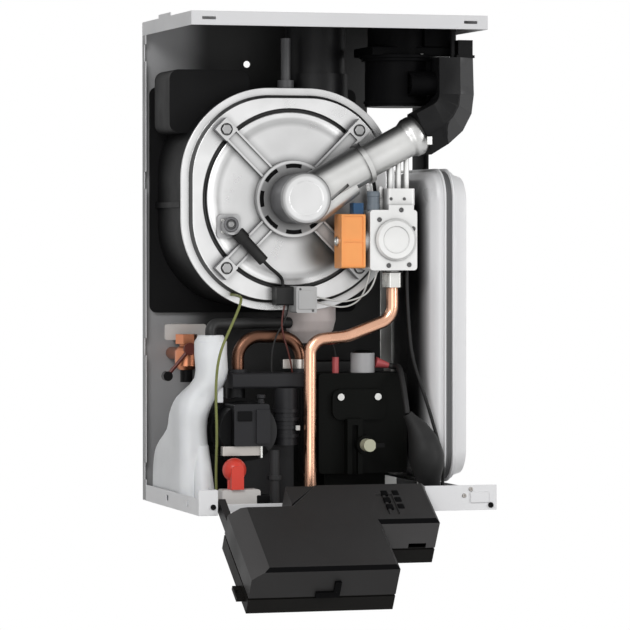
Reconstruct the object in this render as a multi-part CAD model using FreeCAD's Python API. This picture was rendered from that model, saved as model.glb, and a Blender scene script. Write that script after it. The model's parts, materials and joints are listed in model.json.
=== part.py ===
"""Wall-hung condensing gas boiler with its front and side panels off.

Millimetres. X to the right, Y towards the wall, Z up.
The origin lies on the wall face, midway between the two hanging holes.
"""
import FreeCAD, Part
import math
import os
from FreeCAD import Vector as V

X_AXIS = V(1, 0, 0)
Y_AXIS = V(0, 1, 0)
Z_AXIS = V(0, 0, 1)
DOWN = V(0, 0, -1)
FRONT = V(0, -1, 0)

# Casing
cell_side_gap = 21.0
shell_top_drop = 107.0
water_zone = 265.0
base_depth = 332.0
top_depth = 292.0
sheet = 1.5
hang_drop = 60.0
hang_spacing = 120.0
hang_hole_radius = 5.0
top_flange = 20.0
side_flange = 18.0
flange_slot_height = 25.0
flange_slot_depth = 8.0
flange_slot_drops = (46.0, 234.0, 480.0, 664.0)
window_width = 72.0
window_height = 140.0
window_side_gap = 20.0
window_drop = 120.0
hook_length = 70.0
hook_height = 5.0
hook_start = 100.0
top_slot_length = 20.0
top_slot_height = 4.0
top_slot_inset = 16.0
pan_side_flange = 24.0
pan_front_flange = 36.0
pan_bay_flange = 12.0
pan_hole_clearance = 1.5
pan_slot_length = 12.0
pan_slot_height = 8.0
pan_slot_depths = (150.0, 268.0)

# Fits
running_clearance = 0.05
fit_clearance = 0.05
free_gap = 0.3

# Heat cell: black shell, coil and stamped door
shell_half = 156.0
shell_straight = 38.0
shell_wall = 8.0
shell_depth = 163.5
shell_plate = 8.0
shell_plate_margin = 11.0
shell_seam_height = 8.0
shell_seam_proud = 4.0
header_width = 120.0
header_rise = 32.0
header_overlap = 60.0
header_back = 40.0
header_depth = 90.0
header_corner = 14.0
header_side = 12.0
coil_gap = 14.0
coil_band = 34.0
coil_turns = 4
coil_pitch = 32.0
coil_turn_height = 22.0
coil_web = 8.0
coil_header = 16.0
door_overhang = 5.0
door_straight = 29.0
door_flange = 6.0
door_step_inset = 11.0
door_step = 8.0
door_groove_inset = 30.0
door_groove_width = 5.0
door_groove_depth = 6.0
door_disc_rise = 6.0
door_dish_drop = 3.0
door_dish_rim = 9.0
door_dish_slope = 6.0
door_recess_inset = 18.0
door_sheet = 3.0
door_bevel_margin = 2.0
door_throat_radius = 34.0

# Burner flange, nuts and burner tube
hub_radius = 56.0
hub_thickness = 12.0
hub_rim = 5.0
hub_slot_radius = 48.0
hub_slot_width = 6.0
hub_slot_depth = 4.0
hub_slots = 8
hub_slot_span = 28.0
arm_width = 22.0
arm_thickness = 6.0
arm_lip = 3.0
arm_lip_height = 4.0
arm_nut_inset = 20.0
arm_pad = 24.0
arm_seat_radius = 9.0
nut_flats = 13.0
nut_height = 6.0
burner_radius = 32.0
burner_length = 105.0
burner_wall = 1.5
burner_rim = 10.0

# Mixing tube
elbow_radius = 36.0
elbow_length = 60.0
elbow_bore = 28.0
cap_radius = 37.0
cap_thickness = 6.0
cap_edge = 2.0
tube_axis_depth = 31.0
tube_rise = 27.9
tube_recess = 1.0
tube_thick_radius = 28.0
tube_thick_length = 112.0
tube_radius = 25.0
tube_length = 214.0
tube_bore = 19.0
tube_collar_proud = 3.0
tube_collar_length = 7.0
tube_bell_radius = 29.5
tube_bell_lengths = (9.0, 9.0, 6.0)
elbow_web_radius = 19.0
elbow_web_start = (26.0, -16.0)
elbow_web_end = (78.0, 22.0)
elbow_slit_length = 33.0
elbow_slit_width = 5.0
elbow_slit_middle = (53.5, 9.5)
elbow_slit_floor = 14.0
elbow_slit_angle = 40.0

# Fan, duct and flue
fan_gap = 9.0
fan_depth = 172.0
fan_radius = 48.0
fan_height = 70.0
fan_top_drop = 58.0
fan_wall = 4.0
fan_flange_radius = 53.0
fan_flange = 4.0
fan_lip = 2.0
fan_motor_height = 28.0
fan_inlet_radius = 32.0
fan_outlet_radius = 18.0
fan_outlet_wall = 3.0
fan_outlet_drop = 20.0
impeller_radius = 40.0
impeller_plate = 3.0
impeller_blade_height = 22.0
impeller_blade_inner = 20.0
impeller_blade_width = 2.5
impeller_blades = 10
impeller_hub_radius = 12.0
impeller_shaft_radius = 4.0
impeller_shaft_length = 20.0
duct_wall = 3.0
duct_bend = 48.0
duct_overlap = 10.0
duct_reach = 68.0
duct_cap = 4.0
duct_bore = 19.0
duct_outline = ((-30.0, 26.0), (2.0, 26.0), (28.0, 8.0), (28.0, -24.0), (-14.0, -24.0), (-30.0, -6.0))
duct_mouth = ((-31.0, 33.0), (3.0, 33.0), (35.0, 10.0), (35.0, -29.0), (-18.0, -29.0), (-31.0, -8.0))
duct_bend_steps = 3
duct_post_radius = 4.5
duct_block_span = (5.0, 27.0)
duct_block_depth = 20.0
duct_block_height = 26.0
duct_ledge_span = (2.0, 29.0)
duct_ledge_depth = 26.0
duct_ledge = 4.0
socket_bore = 40.3
socket_wall = 3.7
socket_flange_radius = 56.0
socket_flange = 5.0
flue_side = 57.0
flue_depth = 112.0
flue_boss_radius = 48.0
flue_boss_sink = 33.0
flue_throat_radius = 36.0
sensor_side = 1.0
sensor_depth = 150.0
sensor_radius = 7.0
sensor_base_radius = 12.0
sensor_base_height = 17.0
sensor_height = 78.0

# Gas valve
valve_side = 99.0
valve_width = 71.0
valve_height = 94.0
valve_thickness = 42.0
valve_edge = 5.0
valve_top_gap = 9.0
valve_shoulder_height = 7.0
valve_shoulder_width = 38.0
valve_shoulder_inset = 5.0
valve_back_depth = 208.0
valve_cover_radius = 30.0
valve_cover_rise = 6.0
valve_cover_dish = 20.0
valve_cover_drop = 50.0
valve_neck = 6.0
coil_width = 36.0
coil_height = 78.0
coil_thickness = 36.0
coil_edge = 4.0
coil_frame = 3.5
coil_seam = 2.0
coil_recess = 1.5
coil_drop = 13.0
plunger_radius = 8.0
plunger_length = 28.0
plunger_travel = 3.0
plug_width = 16.0
plug_thickness = 20.0
plug_height = 16.0
feed_width = 42.0
feed_thickness = 32.0
feed_height = 24.0
feed_tube_radius = 4.0
feed_tube_pitch = 12.0
feed_tube_count = 3
feed_side_inset = 1.0
union_flats = 27.0
union_height = 22.0
union_collar_radius = 11.0
union_collar_height = 3.0
gas_pipe_radius = 9.0
union_side = 40.0
gas_pipe_gap = 3.0
gas_pipe_engagement = 12.0
gas_pipe_drop = 44.0
gas_pipe_run = 56.0
gas_pipe_run_drop = (70.0, 76.0)
gas_pipe_bends = (26.0, 50.0, 22.0)
tail_drop = 40.0

# Ignition
holder_inset = 23.0
holder_angle = 202.8
holder_half = 17.0
holder_plate = 3.0
holder_boss_radius = 12.0
holder_boss_length = 26.0
boot_radius = 8.0
boot_length = 56.0
boot_angle = -46.7
ignition_width = 31.0
ignition_height = 38.0
ignition_thickness = 38.0
ignition_offset = 13.5
ignition_edge = 3.0
ignition_plug_width = 26.0
ignition_plug_height = 27.0
ignition_plug_thickness = 25.0
lead_radius = 2.5

# Condensate
bowl_side = 45.0
bowl_depth = 124.0
bowl_radius = 38.0
bowl_height = 62.0
bowl_foot_radius = 18.0
hose_radius = 8.0
hose_gap = 24.0
siphon_neck_offset = 54.5
siphon_neck_depth = 190.0
siphon_neck_radius = 23.5
siphon_top_radius = 18.0
siphon_top_round = 9.0
siphon_neck_rises = (221.0, 186.0)
siphon_bottle = ((158.0, 10.0, 53.0, 206.0, 146.0, 22.0), (134.0, 5.0, 46.0, 210.0, 126.0, 20.0),
                 (110.0, 5.0, 43.0, 210.0, 112.0, 18.0), (82.0, 5.0, 44.0, 213.0, 50.0, 17.0),
                 (52.0, 5.0, 45.0, 214.0, 30.0, 17.0), (0.0, 5.0, 46.0, 214.0, 26.0, 17.0))
siphon_steps = 3
siphon_leg_side = 37.0
siphon_leg_depth = 229.0
siphon_leg_radius = 16.0
siphon_leg_top_radius = 11.0
siphon_leg_top_depth = 202.0
siphon_leg_height = 90.0

# Water side
flow_pipe_radius = 9.0
flow_pipe_gap = 17.0
flow_pipe_pitch = 94.0
flow_pipe_depth = 190.0
flow_pipe_rise = 52.0
flow_pipe_bend = 32.0
flow_pipe_engagement = 10.0
collar_wall = 4.0
collar_height = 5.0
clip_height = 14.0
clip_tab_length = 14.0
clip_tab_thickness = 6.0
strap_width = 57.0
strap_height = 13.5
strap_depth = 12.0
strap_inset = 4.0
strap_side = 15.0
manifold_height = 22.0
manifold_thickness = 48.0
manifold_margin = 13.5
manifold_rise = 193.0
manifold_edge = 4.0
cartridge_side = 68.0
cartridge_front = 15.0
cartridge_radius = 17.0
cartridge_length = 82.0
cartridge_ribs = 4
cartridge_rib = 5.0
cartridge_rib_proud = 2.0
cartridge_rib_pitch = 12.0
cartridge_rib_drop = 30.0
pump_side = 3.0
pump_rise = 111.0
volute_radius = 46.0
volute_depth = 165.0
volute_thickness = 50.0
volute_wall = 6.0
volute_neck_radius = 14.0
foot_thickness = 60.0
foot_left = (4.0, 82.0)
foot_right = (16.0, 109.0)
motor_radius = 42.0
motor_length = 48.0
driver_width = 52.0
driver_height = 60.0
driver_drop = 20.5
driver_depth = 56.0
driver_reach = 66.0
driver_edge = 3.0
driver_lid_width = 20.0
driver_lid_margin = 4.0
driver_lid_proud = 4.0
post_side = 36.0
post_depth = 246.0
post_radius = 7.0
post_height = 84.0
post_bead = 3.0
post_bead_rise = 42.0
motor_fin = 3.0
pump_wheel_radius = 34.0
pump_wheel_thickness = 20.0
pump_shaft_radius = 5.0
pump_shaft_length = 24.0
pump_vanes = 6
block_side = 17.0
block_width = 134.0
block_right_gap = 23.0
block_front = 215.0
block_back = 140.0
block_rise = 191.5
block_bottom_rise = 46.5
block_edge = 6.0
housing_span = (19.0, 99.0)
housing_drop = 23.0
housing_height = 44.0
housing_proud = 7.0
housing_corner = 12.0
pillar_offset = 50.0
pillar_width = 23.0
pillar_proud = 17.0
pillar_top_rise = 126.0
pillar_channel = 9.0
pillar_channel_depth = 9.0
block_screw_radius = 5.0
block_screw_proud = 3.0
block_screw_offsets = (31.0, 87.0)
block_screw_drop = 34.0
plate_exchanger_width = 110.0
plate_exchanger_thickness = 74.0
plate_exchanger_height = 180.0
plate_exchanger_rise = 26.0
plate_exchanger_plate = 2.5
plate_exchanger_plates = 10
plate_exchanger_port = 14.0
plate_exchanger_port_inset = 24.0
diverter_offset = 72.0
diverter_depth = 196.0
diverter_radius = 17.5
diverter_wall = 2.5
diverter_height = 29.0
diverter_cap_proud = 4.0
diverter_cap_edge = 4.0
plug_cone_radius = 8.0
plug_cone_tip = 4.0
plug_cone_length = 20.0
plug_cone_rise = 15.0
plug_cone_tilt = 14.0
pin_plug_radius = 5.0
pin_plug_height = 23.0
pin_plug_offset = 31.0
relief_side = 77.0
relief_width = 56.0
relief_front = 277.0
relief_back = 250.0
relief_height = 30.5
relief_edge = 4.0
knob_side = 7.0
knob_radius = 17.0
knob_neck_radius = 10.0
knob_height = 44.0
knob_tab_width = 18.0
knob_tab_proud = 2.0
knob_tab_height = 33.0
knob_tab_root = 8.0
knob_pin_radius = 5.0
knob_pin_length = 20.0
drain_offset = 64.0
drain_rise = 89.0
drain_stub_radius = 13.0
drain_stub_length = 24.0
drain_knob_radius = 9.0
drain_knob_length = 20.0
drain_lever_length = 22.0
drain_lever_width = 6.0
drain_pin_radius = 4.0
drain_pin_length = 14.0
fill_inset = 44.0
fill_depth = 90.0
fill_radius = 17.0
fill_gap = 41.0
fill_height = 70.0
fill_branch_radius = 9.0
fill_branch_drop = 30.0
fill_nut_flats = 28.0
fill_nut_height = 14.0
fill_neck_radius = 10.0
fill_neck_height = 4.0
fill_foot_radius = 9.0
lever_drop = 21.0
lever_angle = 229.0
lever_length = 52.0
lever_rod_radius = 2.8
lever_thickness = 6.0
lever_hub_radius = 9.0
lever_ball_radius = 7.0
lever_pin_radius = 4.0
lever_pin_length = 10.0
bracket_width = 62.0
bracket_height = 23.0
bracket_thickness = 6.0
bracket_depth = 60.0
bracket_side_gap = 18.0
bracket_gap = 27.0
bracket_leg = 12.0
bracket_pocket = 3.0

# Expansion vessel
vessel_gap = 33.0
vessel_side_gap = 38.0
vessel_left_bulge = 36.0
vessel_right_bulge = 34.0
vessel_back_gap = 22.0
vessel_depth = 208.0
vessel_height = 450.0
vessel_floor_gap = 34.5
vessel_corner = 40.0
vessel_left_crown = ((0.0, 0.0), (0.45, 1.0), (0.75, 14.0), (0.93, 50.0), (1.0, 88.0))
vessel_right_crown = ((0.0, 0.0), (0.38, 0.5), (0.46, 4.0), (0.86, 8.0), (0.96, 28.0), (1.0, 80.0))
vessel_wall = 2.0
vessel_rim = 4.0
vessel_rim_width = 3.0
vessel_seam = 5.0
vessel_bracket_width = 26.0
vessel_bracket_plate = 4.0
vessel_bracket_hook = 60.0
vessel_saddle_depth = 120.0

# Pipe tails under the pan
tail_depth = 155.0
heating_tail_radius = 11.0
water_tail_radius = 7.5
tail_collar_proud = 4.0
tail_collar_height = 6.0
flow_tail_side = 24.0
hot_tail_side = 64.0
cold_tail_offset = 33.0
return_tail_offset = 86.0

# Control box, drawn closed and then swung forward on its hinge
box_left_inset = 32.0
box_main_width = 210.0
box_side_width = 86.0
box_height = 192.0
box_side_height = 88.0
box_hinge_gap = 5.0
box_notch_height = 43.0
box_notch_width = 90.0
box_notch_slope = 43.0
box_cover_depth = 48.0
box_tray_depth = 26.0
box_cover_offset = 36.0
box_wall = 3.0
box_bevel = 5.0
box_left_bevel = (24.0, 17.0)
box_rebate_height = 3.0
box_rebate_depth = 1.5
cable_exit_width = 26.0
cable_exit_height = 8.0
cable_exit_inset = 14.0
box_swing = 122.0
hinge_front_gap = 10.0
hinge_rise = 10.0
hinge_pin_radius = 4.0
hinge_pin_length = 8.0
hinge_lug_width = 10.0
hinge_lug_half = 9.0
bay_side_gap = 4.0
bay_depth = 51.0
latch_width = 34.0
latch_height = 26.0
latch_proud = 4.0
latch_bar = 9.0
latch_offset = 94.0
lug_width = 12.0
lug_height = 28.0
lug_thickness = 6.0
lug_rise = 150.0
lug_hole_radius = 4.0
port_width = 10.0
port_height = 50.0
port_pitch = 14.0
port_depth = 2.0
port_rise = 22.0
board_thickness = 1.6
board_margin = 10.0
board_post_radius = 4.0
display_width = 80.0
display_height = 46.0
display_offset = 58.0
display_rise = 112.0
display_lip = 3.0
display_proud = 1.5
button_radius = 8.0
button_gap = 0.3
button_proud = 3.0
button_lip = 2.0
button_pitch = 40.0
button_rise = 82.0

# Leads
earth_radius = 2.0
earth_gap = 28.0
earth_side = -4.5
earth_drop = 90.0
earth_tag_margin = 2.0
earth_bends = (10.0, 60.0)
earth_tag_angle = 238.0
harness_radius = 4.0
harness_lead = 9.0
harness_points = ((112.0, 228.0, 197.5), (112.0, 250.0, 165.0))
harness_bends = (8.0, 12.0, 14.0)
sleeve_depth = 263.0
sleeve_steps = 2
sleeve_rings = ((134.0, 112.0, 7.0), (112.0, 96.0, 16.0), (88.0, 86.0, 23.0), (66.0, 82.0, 25.0),
                (44.0, 80.0, 20.0), (24.0, 74.0, 11.0), (0.0, 70.0, 8.0))
lead_side = 9.0
lead_depth = 241.0
lead_points = ((-28.0, 111.0), (216.0, 100.0), (152.0, 76.0), (93.0, 58.0), (57.0, 49.0), (26.0, 52.0))
lead_bends = (12.0, 30.0, 60.0, 80.0, 60.0, 40.0)

# Places worked out from the sizes above
cell_row = cell_side_gap + 2 * shell_half + vessel_gap + vessel_left_bulge + vessel_side_gap
siphon_row = siphon_neck_offset + siphon_neck_radius + flow_pipe_gap
water_row = siphon_row + flow_pipe_pitch + gas_pipe_gap + block_side + block_width + block_right_gap
casing_width = max(cell_row, water_row + vessel_left_bulge + vessel_side_gap)
casing_height = shell_top_drop + 2 * shell_half + hose_gap + water_zone
half_width = casing_width / 2
z_top = hang_drop
z_base = z_top - casing_height
z_floor = z_base + sheet
y_panel = -sheet
y_pan_front = -base_depth
y_top_front = -top_depth
cell_offset = -half_width + cell_side_gap + shell_half
z_cell = z_top - shell_top_drop - shell_half
shell_corner = shell_half - shell_straight
coil_outer = shell_half - shell_wall - coil_gap
coil_inner = coil_outer - coil_band
door_half = shell_half + door_overhang
door_corner = door_half - door_straight
door_groove_radius = door_half - door_groove_inset
door_disc_radius = door_groove_radius - door_groove_width
arm_nut_radius = door_half - arm_nut_inset
y_shell_front = y_panel - shell_depth
y_door_flange = y_shell_front - door_flange
y_door_step = y_door_flange - door_step
y_door_disc = y_door_step - door_disc_rise
y_hub_front = y_door_disc - hub_thickness
y_elbow_front = y_hub_front - elbow_length
fan_offset = cell_offset + shell_half + fan_gap
duct_offset = fan_offset + duct_reach
flue_offset = cell_offset + flue_side
sensor_offset = cell_offset + sensor_side
bowl_offset = cell_offset + bowl_side
tube_start = V(cell_offset, y_hub_front - tube_axis_depth, z_cell)
tube_direction = V(math.cos(math.radians(tube_rise)) * math.cos(math.radians(tube_recess)),
                   math.sin(math.radians(tube_recess)),
                   math.sin(math.radians(tube_rise)) * math.cos(math.radians(tube_recess)))
tube_end = tube_start + tube_direction * tube_length
duct_corner = tube_start + tube_direction * ((duct_offset - cell_offset) / tube_direction.x)
z_fan_top = z_top - fan_top_drop
z_fan_floor = z_fan_top - fan_height
valve_left = cell_offset + valve_side
valve_right = valve_left + valve_width
z_valve_top = z_cell - valve_top_gap
z_valve_bottom = z_valve_top - valve_height
y_valve_back = -valve_back_depth
y_valve_front = y_valve_back - valve_thickness
y_valve_middle = (y_valve_back + y_valve_front) / 2
z_coil_top = z_valve_top - coil_drop
feed_x = valve_right - feed_side_inset - feed_width / 2
union_x = valve_left + union_side
z_union_top = z_valve_bottom - union_collar_height
z_union_bottom = z_union_top - union_height
siphon_neck_x = -half_width + siphon_neck_offset
z_hose = z_cell - shell_half - hose_gap
z_siphon_neck = z_hose - hose_radius * 2
flow_pipe_left = -half_width + siphon_row
flow_pipe_right = flow_pipe_left + flow_pipe_pitch
gas_pipe_offset = flow_pipe_right + gas_pipe_gap
block_left = gas_pipe_offset + block_side
block_middle = block_left + block_width / 2
pump_offset = flow_pipe_left + pump_side
cartridge_x = flow_pipe_left + cartridge_side
heating_tail_offsets = (pump_offset + flow_tail_side, block_left + return_tail_offset)
water_tail_offsets = (pump_offset + hot_tail_side, block_left + cold_tail_offset)
diverter_x = block_left + diverter_offset
drain_x = block_left + drain_offset
relief_offset = -half_width + relief_side
knob_offset = relief_offset - knob_side
z_manifold_top = z_floor + manifold_rise
z_manifold_bottom = z_manifold_top - manifold_height
z_pump = z_floor + pump_rise
y_volute_back = -volute_depth + volute_thickness / 2
y_volute_front = y_volute_back - volute_thickness
z_block_top = z_floor + block_rise
z_block_bottom = z_floor + block_bottom_rise
vessel_x = half_width - vessel_side_gap
vessel_y = -vessel_back_gap - vessel_depth / 2
z_vessel = z_floor + vessel_floor_gap + vessel_height / 2
fill_x = -half_width + fill_inset
z_fill_top = z_cell - shell_half - fill_gap
z_lever = z_fill_top - lever_drop
plug_axis = V(math.cos(math.radians(plug_cone_tilt)), 0, -math.sin(math.radians(plug_cone_tilt)))
box_left = -half_width + box_left_inset
box_middle = box_left + box_main_width
box_right = box_middle + box_side_width
bay_left = box_left - bay_side_gap
bay_right = box_right + bay_side_gap
y_bay = y_pan_front + bay_depth
y_hinge = y_pan_front + hinge_front_gap
z_hinge = z_base + hinge_rise
y_cover = y_hinge + box_cover_offset
y_seam = y_cover - box_cover_depth
y_fascia = y_seam - box_tray_depth


def box(x, y, z):
    """Box between (low, high) pairs."""
    return Part.makeBox(x[1] - x[0], y[1] - y[0], z[1] - z[0], V(x[0], y[0], z[0]))


def around(middle, size):
    return (middle - size / 2, middle + size / 2)


def rod(start, direction, radius, length):
    return Part.makeCylinder(radius, length, start, direction)


def ring(start, direction, outer, inner, length):
    return rod(start, direction, outer, length).cut(rod(start, direction, inner, length))


def joined(first, *others):
    return first.fuse(list(others)).removeSplitter()


def rounded_wire(middle, u, v, half_u, half_v, radius):
    """Rounded rectangle about a point, in the plane of u and v."""
    straight_u = half_u - radius
    straight_v = half_v - radius
    slant = radius * math.sqrt(0.5)
    edges = []
    for a, b in ((1, 1), (-1, 1), (-1, -1), (1, -1)):
        corner = middle + u * (a * straight_u) + v * (b * straight_v)
        side_end = corner + u * (a * radius)
        flat_end = corner + v * (b * radius)
        bulge = corner + u * (a * slant) + v * (b * slant)
        first, last = (side_end, flat_end) if a * b > 0 else (flat_end, side_end)
        edges.append(Part.Arc(first, bulge, last).toShape())
    runs = []
    for index, edge in enumerate(edges):
        following = edges[(index + 1) % 4]
        runs.append(edge)
        runs.append(Part.makeLine(edge.lastVertex(True).Point, following.firstVertex(True).Point))
    return Part.Wire(runs)


def rounded_prism(middle, u, v, half_u, half_v, radius, length):
    wire = rounded_wire(middle, u, v, half_u, half_v, radius)
    return Part.Face(wire).extrude(length)


def hexagon(start, direction, flats, height, first):
    """Hexagonal prism; first is the direction of one corner."""
    corner_radius = flats / math.sqrt(3)
    side = direction.cross(first)
    corners = []
    for step in range(7):
        turn = math.radians(60 * step)
        corners.append(start + first * (corner_radius * math.cos(turn)) + side * (corner_radius * math.sin(turn)))
    return Part.Face(Part.makePolygon(corners)).extrude(direction * height)


def tube(points, bend, radius):
    """Round tube of straight runs and tangent arcs; one bend radius, or one for each inner point."""
    bends = bend if isinstance(bend, (list, tuple)) else [bend] * (len(points) - 2)
    pieces = []
    start = points[0]
    for corner, before, after, bend_radius in zip(points[1:-1], points, points[2:], bends):
        arriving = (corner - before).normalize()
        leaving = (after - corner).normalize()
        turn = arriving.getAngle(leaving)
        reach = bend_radius * math.tan(turn / 2)
        entry = corner - arriving * reach
        axis = arriving.cross(leaving).normalize()
        centre = entry + axis.cross(arriving) * bend_radius
        section = Part.Face(Part.Wire(Part.makeCircle(radius, entry, arriving)))
        pieces.append(rod(start, arriving, radius, (entry - start).Length))
        pieces.append(section.revolve(centre, axis, math.degrees(turn)))
        start = corner + leaving * reach
    last = points[-1] - start
    pieces.append(rod(start, last, radius, last.Length))
    return joined(*pieces)


def smooth_rows(rows, steps):
    """Rows of sizes with further rows on a smooth curve between them."""
    result = []
    for index in range(len(rows) - 1):
        before = rows[max(index - 1, 0)]
        first, second = rows[index], rows[index + 1]
        after = rows[min(index + 2, len(rows) - 1)]
        for step in range(steps):
            t = step / steps
            row = []
            for a, b, c, d in zip(before, first, second, after):
                rise_in = (c - a) / 2 * (t ** 3 - 2 * t ** 2 + t)
                rise_out = (d - b) / 2 * (t ** 3 - t ** 2)
                row.append(b + (c - b) * (3 * t ** 2 - 2 * t ** 3) + rise_in + rise_out)
            result.append(row)
    return result + [list(rows[-1])]


def revolved(profile, origin, axis):
    """Solid of revolution from (radius, height) points along an upright axis or the front axis."""
    across = X_AXIS
    points = [origin + across * r + axis * h for r, h in profile]
    face = Part.Face(Part.makePolygon(points + [points[0]]))
    return face.revolve(origin, axis, 360)


def edges_at(shape, test):
    return [edge for edge in shape.Edges if test(edge)]


def bevelled(shape, size, test):
    """Chamfer on the edges that the test picks."""
    return shape.makeChamfer(size, edges_at(shape, test))


def softened(shape, radius, test):
    """Fillet on the edges that the test picks."""
    return shape.makeFillet(radius, edges_at(shape, test))


def straight_along(axis):
    """Test for a straight edge along an axis."""
    def check(edge):
        if not isinstance(edge.Curve, Part.Line):
            return False
        return abs(abs(edge.tangentAt(edge.FirstParameter).dot(axis)) - 1) < 1e-6
    return check


def flat_edge_at(y, least_radius):
    """Test for an edge in one plane across the heat cell's axis, outside a radius."""
    def check(edge):
        start = edge.firstVertex().Point
        radius = math.hypot(start.x - cell_offset, start.z - z_cell)
        return edge.BoundBox.YLength < 0.01 and abs(start.y - y) < 0.01 and radius > least_radius
    return check


def cell_point(radius, degrees, y):
    """Point at a radius and angle round the heat cell's axis."""
    turn = math.radians(degrees)
    return V(cell_offset + radius * math.cos(turn), y, z_cell + radius * math.sin(turn))


def cell_prism(half, corner, y_front, y_back):
    """Rounded square round the heat cell's axis, between two depths."""
    middle = V(cell_offset, y_back, z_cell)
    return rounded_prism(middle, X_AXIS, Z_AXIS, half, half, corner, FRONT * (y_back - y_front))


def back_panel():
    z_plate = (z_base, z_top - sheet)
    z_side = (z_floor, z_top - top_flange)
    plate = box((-half_width, half_width), (y_panel, 0), z_plate)
    y_side = (y_panel - side_flange, y_panel)
    sides = [box((-half_width, -half_width + sheet), y_side, z_side),
             box((half_width - sheet, half_width), y_side, z_side)]
    panel = joined(plate, *sides)
    for drop in flange_slot_drops:
        z_slot = around(z_top - drop, flange_slot_height)
        y_slot = (y_panel - side_flange, y_panel - side_flange + flange_slot_depth)
        panel = panel.cut(box((-half_width, half_width), y_slot, z_slot))
    for side in (-1, 1):
        hole = rod(V(side * hang_spacing / 2, y_panel, 0), Y_AXIS, hang_hole_radius, sheet)
        panel = panel.cut(hole)
    window_right = half_width - window_side_gap
    window = box((window_right - window_width, window_right), (y_panel, 0),
                 (z_top - window_drop - window_height, z_top - window_drop))
    return panel.cut(window)


def top_panel():
    plate = box((-half_width, half_width), (y_top_front, 0), (z_top - sheet, z_top))
    z_flange = (z_top - top_flange, z_top - sheet)
    front = box((-half_width, half_width), (y_top_front, y_top_front + sheet), z_flange)
    pieces = [front]
    for side in (-1, 1):
        edge = side * half_width
        x_wall = (min(edge, edge - side * sheet), max(edge, edge - side * sheet))
        pieces.append(box(x_wall, (y_top_front + sheet, y_panel), z_flange))
        pieces.append(box(x_wall, (-hook_start - hook_length, -hook_start), (z_top, z_top + hook_height)))
    panel = joined(plate, *pieces)
    z_slot = around(z_top - top_flange / 2, top_slot_height)
    for side in (-1, 1):
        x_slot = around(side * (half_width - top_slot_inset - top_slot_length / 2), top_slot_length)
        panel = panel.cut(box(x_slot, (y_top_front, y_top_front + sheet), z_slot))
    hole_radius = socket_bore + socket_wall + fit_clearance
    for x, depth in ((flue_offset, flue_depth), (fan_offset, fan_depth)):
        panel = panel.cut(rod(V(x, -depth, z_top - sheet), Z_AXIS, hole_radius, sheet))
    return panel


def pan_wall(x, y, height):
    return box(x, y, (z_floor, z_base + height))


def bottom_pan():
    floor = box((-half_width, half_width), (y_pan_front, y_panel), (z_base, z_floor))
    bay = box((bay_left, bay_right), (y_pan_front, y_bay), (z_base, z_floor))
    left = (-half_width, -half_width + sheet)
    right = (half_width - sheet, half_width)
    y_side = (y_pan_front + sheet, y_panel - side_flange - free_gap)
    y_front = (y_pan_front, y_pan_front + sheet)
    y_cheek = (y_pan_front + sheet, y_bay)
    walls = [pan_wall(left, y_side, pan_side_flange),
             pan_wall(right, y_side, pan_side_flange),
             pan_wall((-half_width, bay_left), y_front, pan_front_flange),
             pan_wall((bay_right, half_width), y_front, pan_front_flange),
             pan_wall((bay_left - sheet, bay_left), y_cheek, pan_front_flange),
             pan_wall((bay_right, bay_right + sheet), y_cheek, pan_front_flange),
             pan_wall((bay_left - sheet, bay_right + sheet), (y_bay, y_bay + sheet), pan_bay_flange)]
    pan = joined(floor.cut(bay), *walls)
    pin_hole = hinge_pin_radius + running_clearance
    pan = pan.cut(rod(V(bay_left - sheet, y_hinge, z_hinge), X_AXIS, pin_hole, bay_right - bay_left + 2 * sheet))
    for x in heating_tail_offsets:
        pan = pan.cut(rod(V(x, -tail_depth, z_base), Z_AXIS, heating_tail_radius + pan_hole_clearance, sheet))
    for x in water_tail_offsets:
        pan = pan.cut(rod(V(x, -tail_depth, z_base), Z_AXIS, water_tail_radius + pan_hole_clearance, sheet))
    gas_hole = rod(V(gas_pipe_offset, y_valve_middle, z_base), Z_AXIS, gas_pipe_radius + pan_hole_clearance, sheet)
    pan = pan.cut(gas_hole)
    z_slot = around(z_floor + pan_side_flange / 2, pan_slot_height)
    for depth in pan_slot_depths:
        pan = pan.cut(box((-half_width, half_width), around(-depth, pan_slot_length), z_slot))
    return pan


def shell_outline():
    return cell_prism(shell_half, shell_corner, y_shell_front, y_panel)


def exchanger_header():
    """Rounded water header across the shell's upper left shoulder."""
    left = cell_offset - shell_half - header_side
    z_header = (z_cell + shell_half - header_overlap, z_cell + shell_half + header_rise)
    header = box((left, left + header_width), (-header_back - header_depth, -header_back), z_header)
    return softened(header, header_corner, straight_along(Y_AXIS))


def exchanger_shell():
    plate_half = shell_half + shell_plate_margin
    plate_right = cell_offset + shell_half - shell_plate_margin / 2
    plate_left = cell_offset - plate_half
    plate_middle = V((plate_left + plate_right) / 2, y_panel, z_cell)
    plate = rounded_prism(plate_middle, X_AXIS, Z_AXIS, (plate_right - plate_left) / 2, plate_half,
                          shell_plate_margin, FRONT * shell_plate)
    seam = box((cell_offset - shell_half - shell_seam_proud, cell_offset - shell_half + shell_wall / 2),
               (y_shell_front + shell_wall, y_panel - shell_plate),
               around(z_cell - shell_seam_height, shell_seam_height))
    shell = joined(shell_outline(), plate, seam, exchanger_header())
    cavity = cell_prism(shell_half - shell_wall, shell_corner - shell_wall, y_shell_front, y_panel - shell_wall)
    shell = shell.cut(cavity)
    outlet = rod(V(flue_offset, -flue_depth, z_cell + shell_half - shell_corner), Z_AXIS, flue_throat_radius,
                 shell_corner)
    return shell.cut(outlet)


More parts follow.
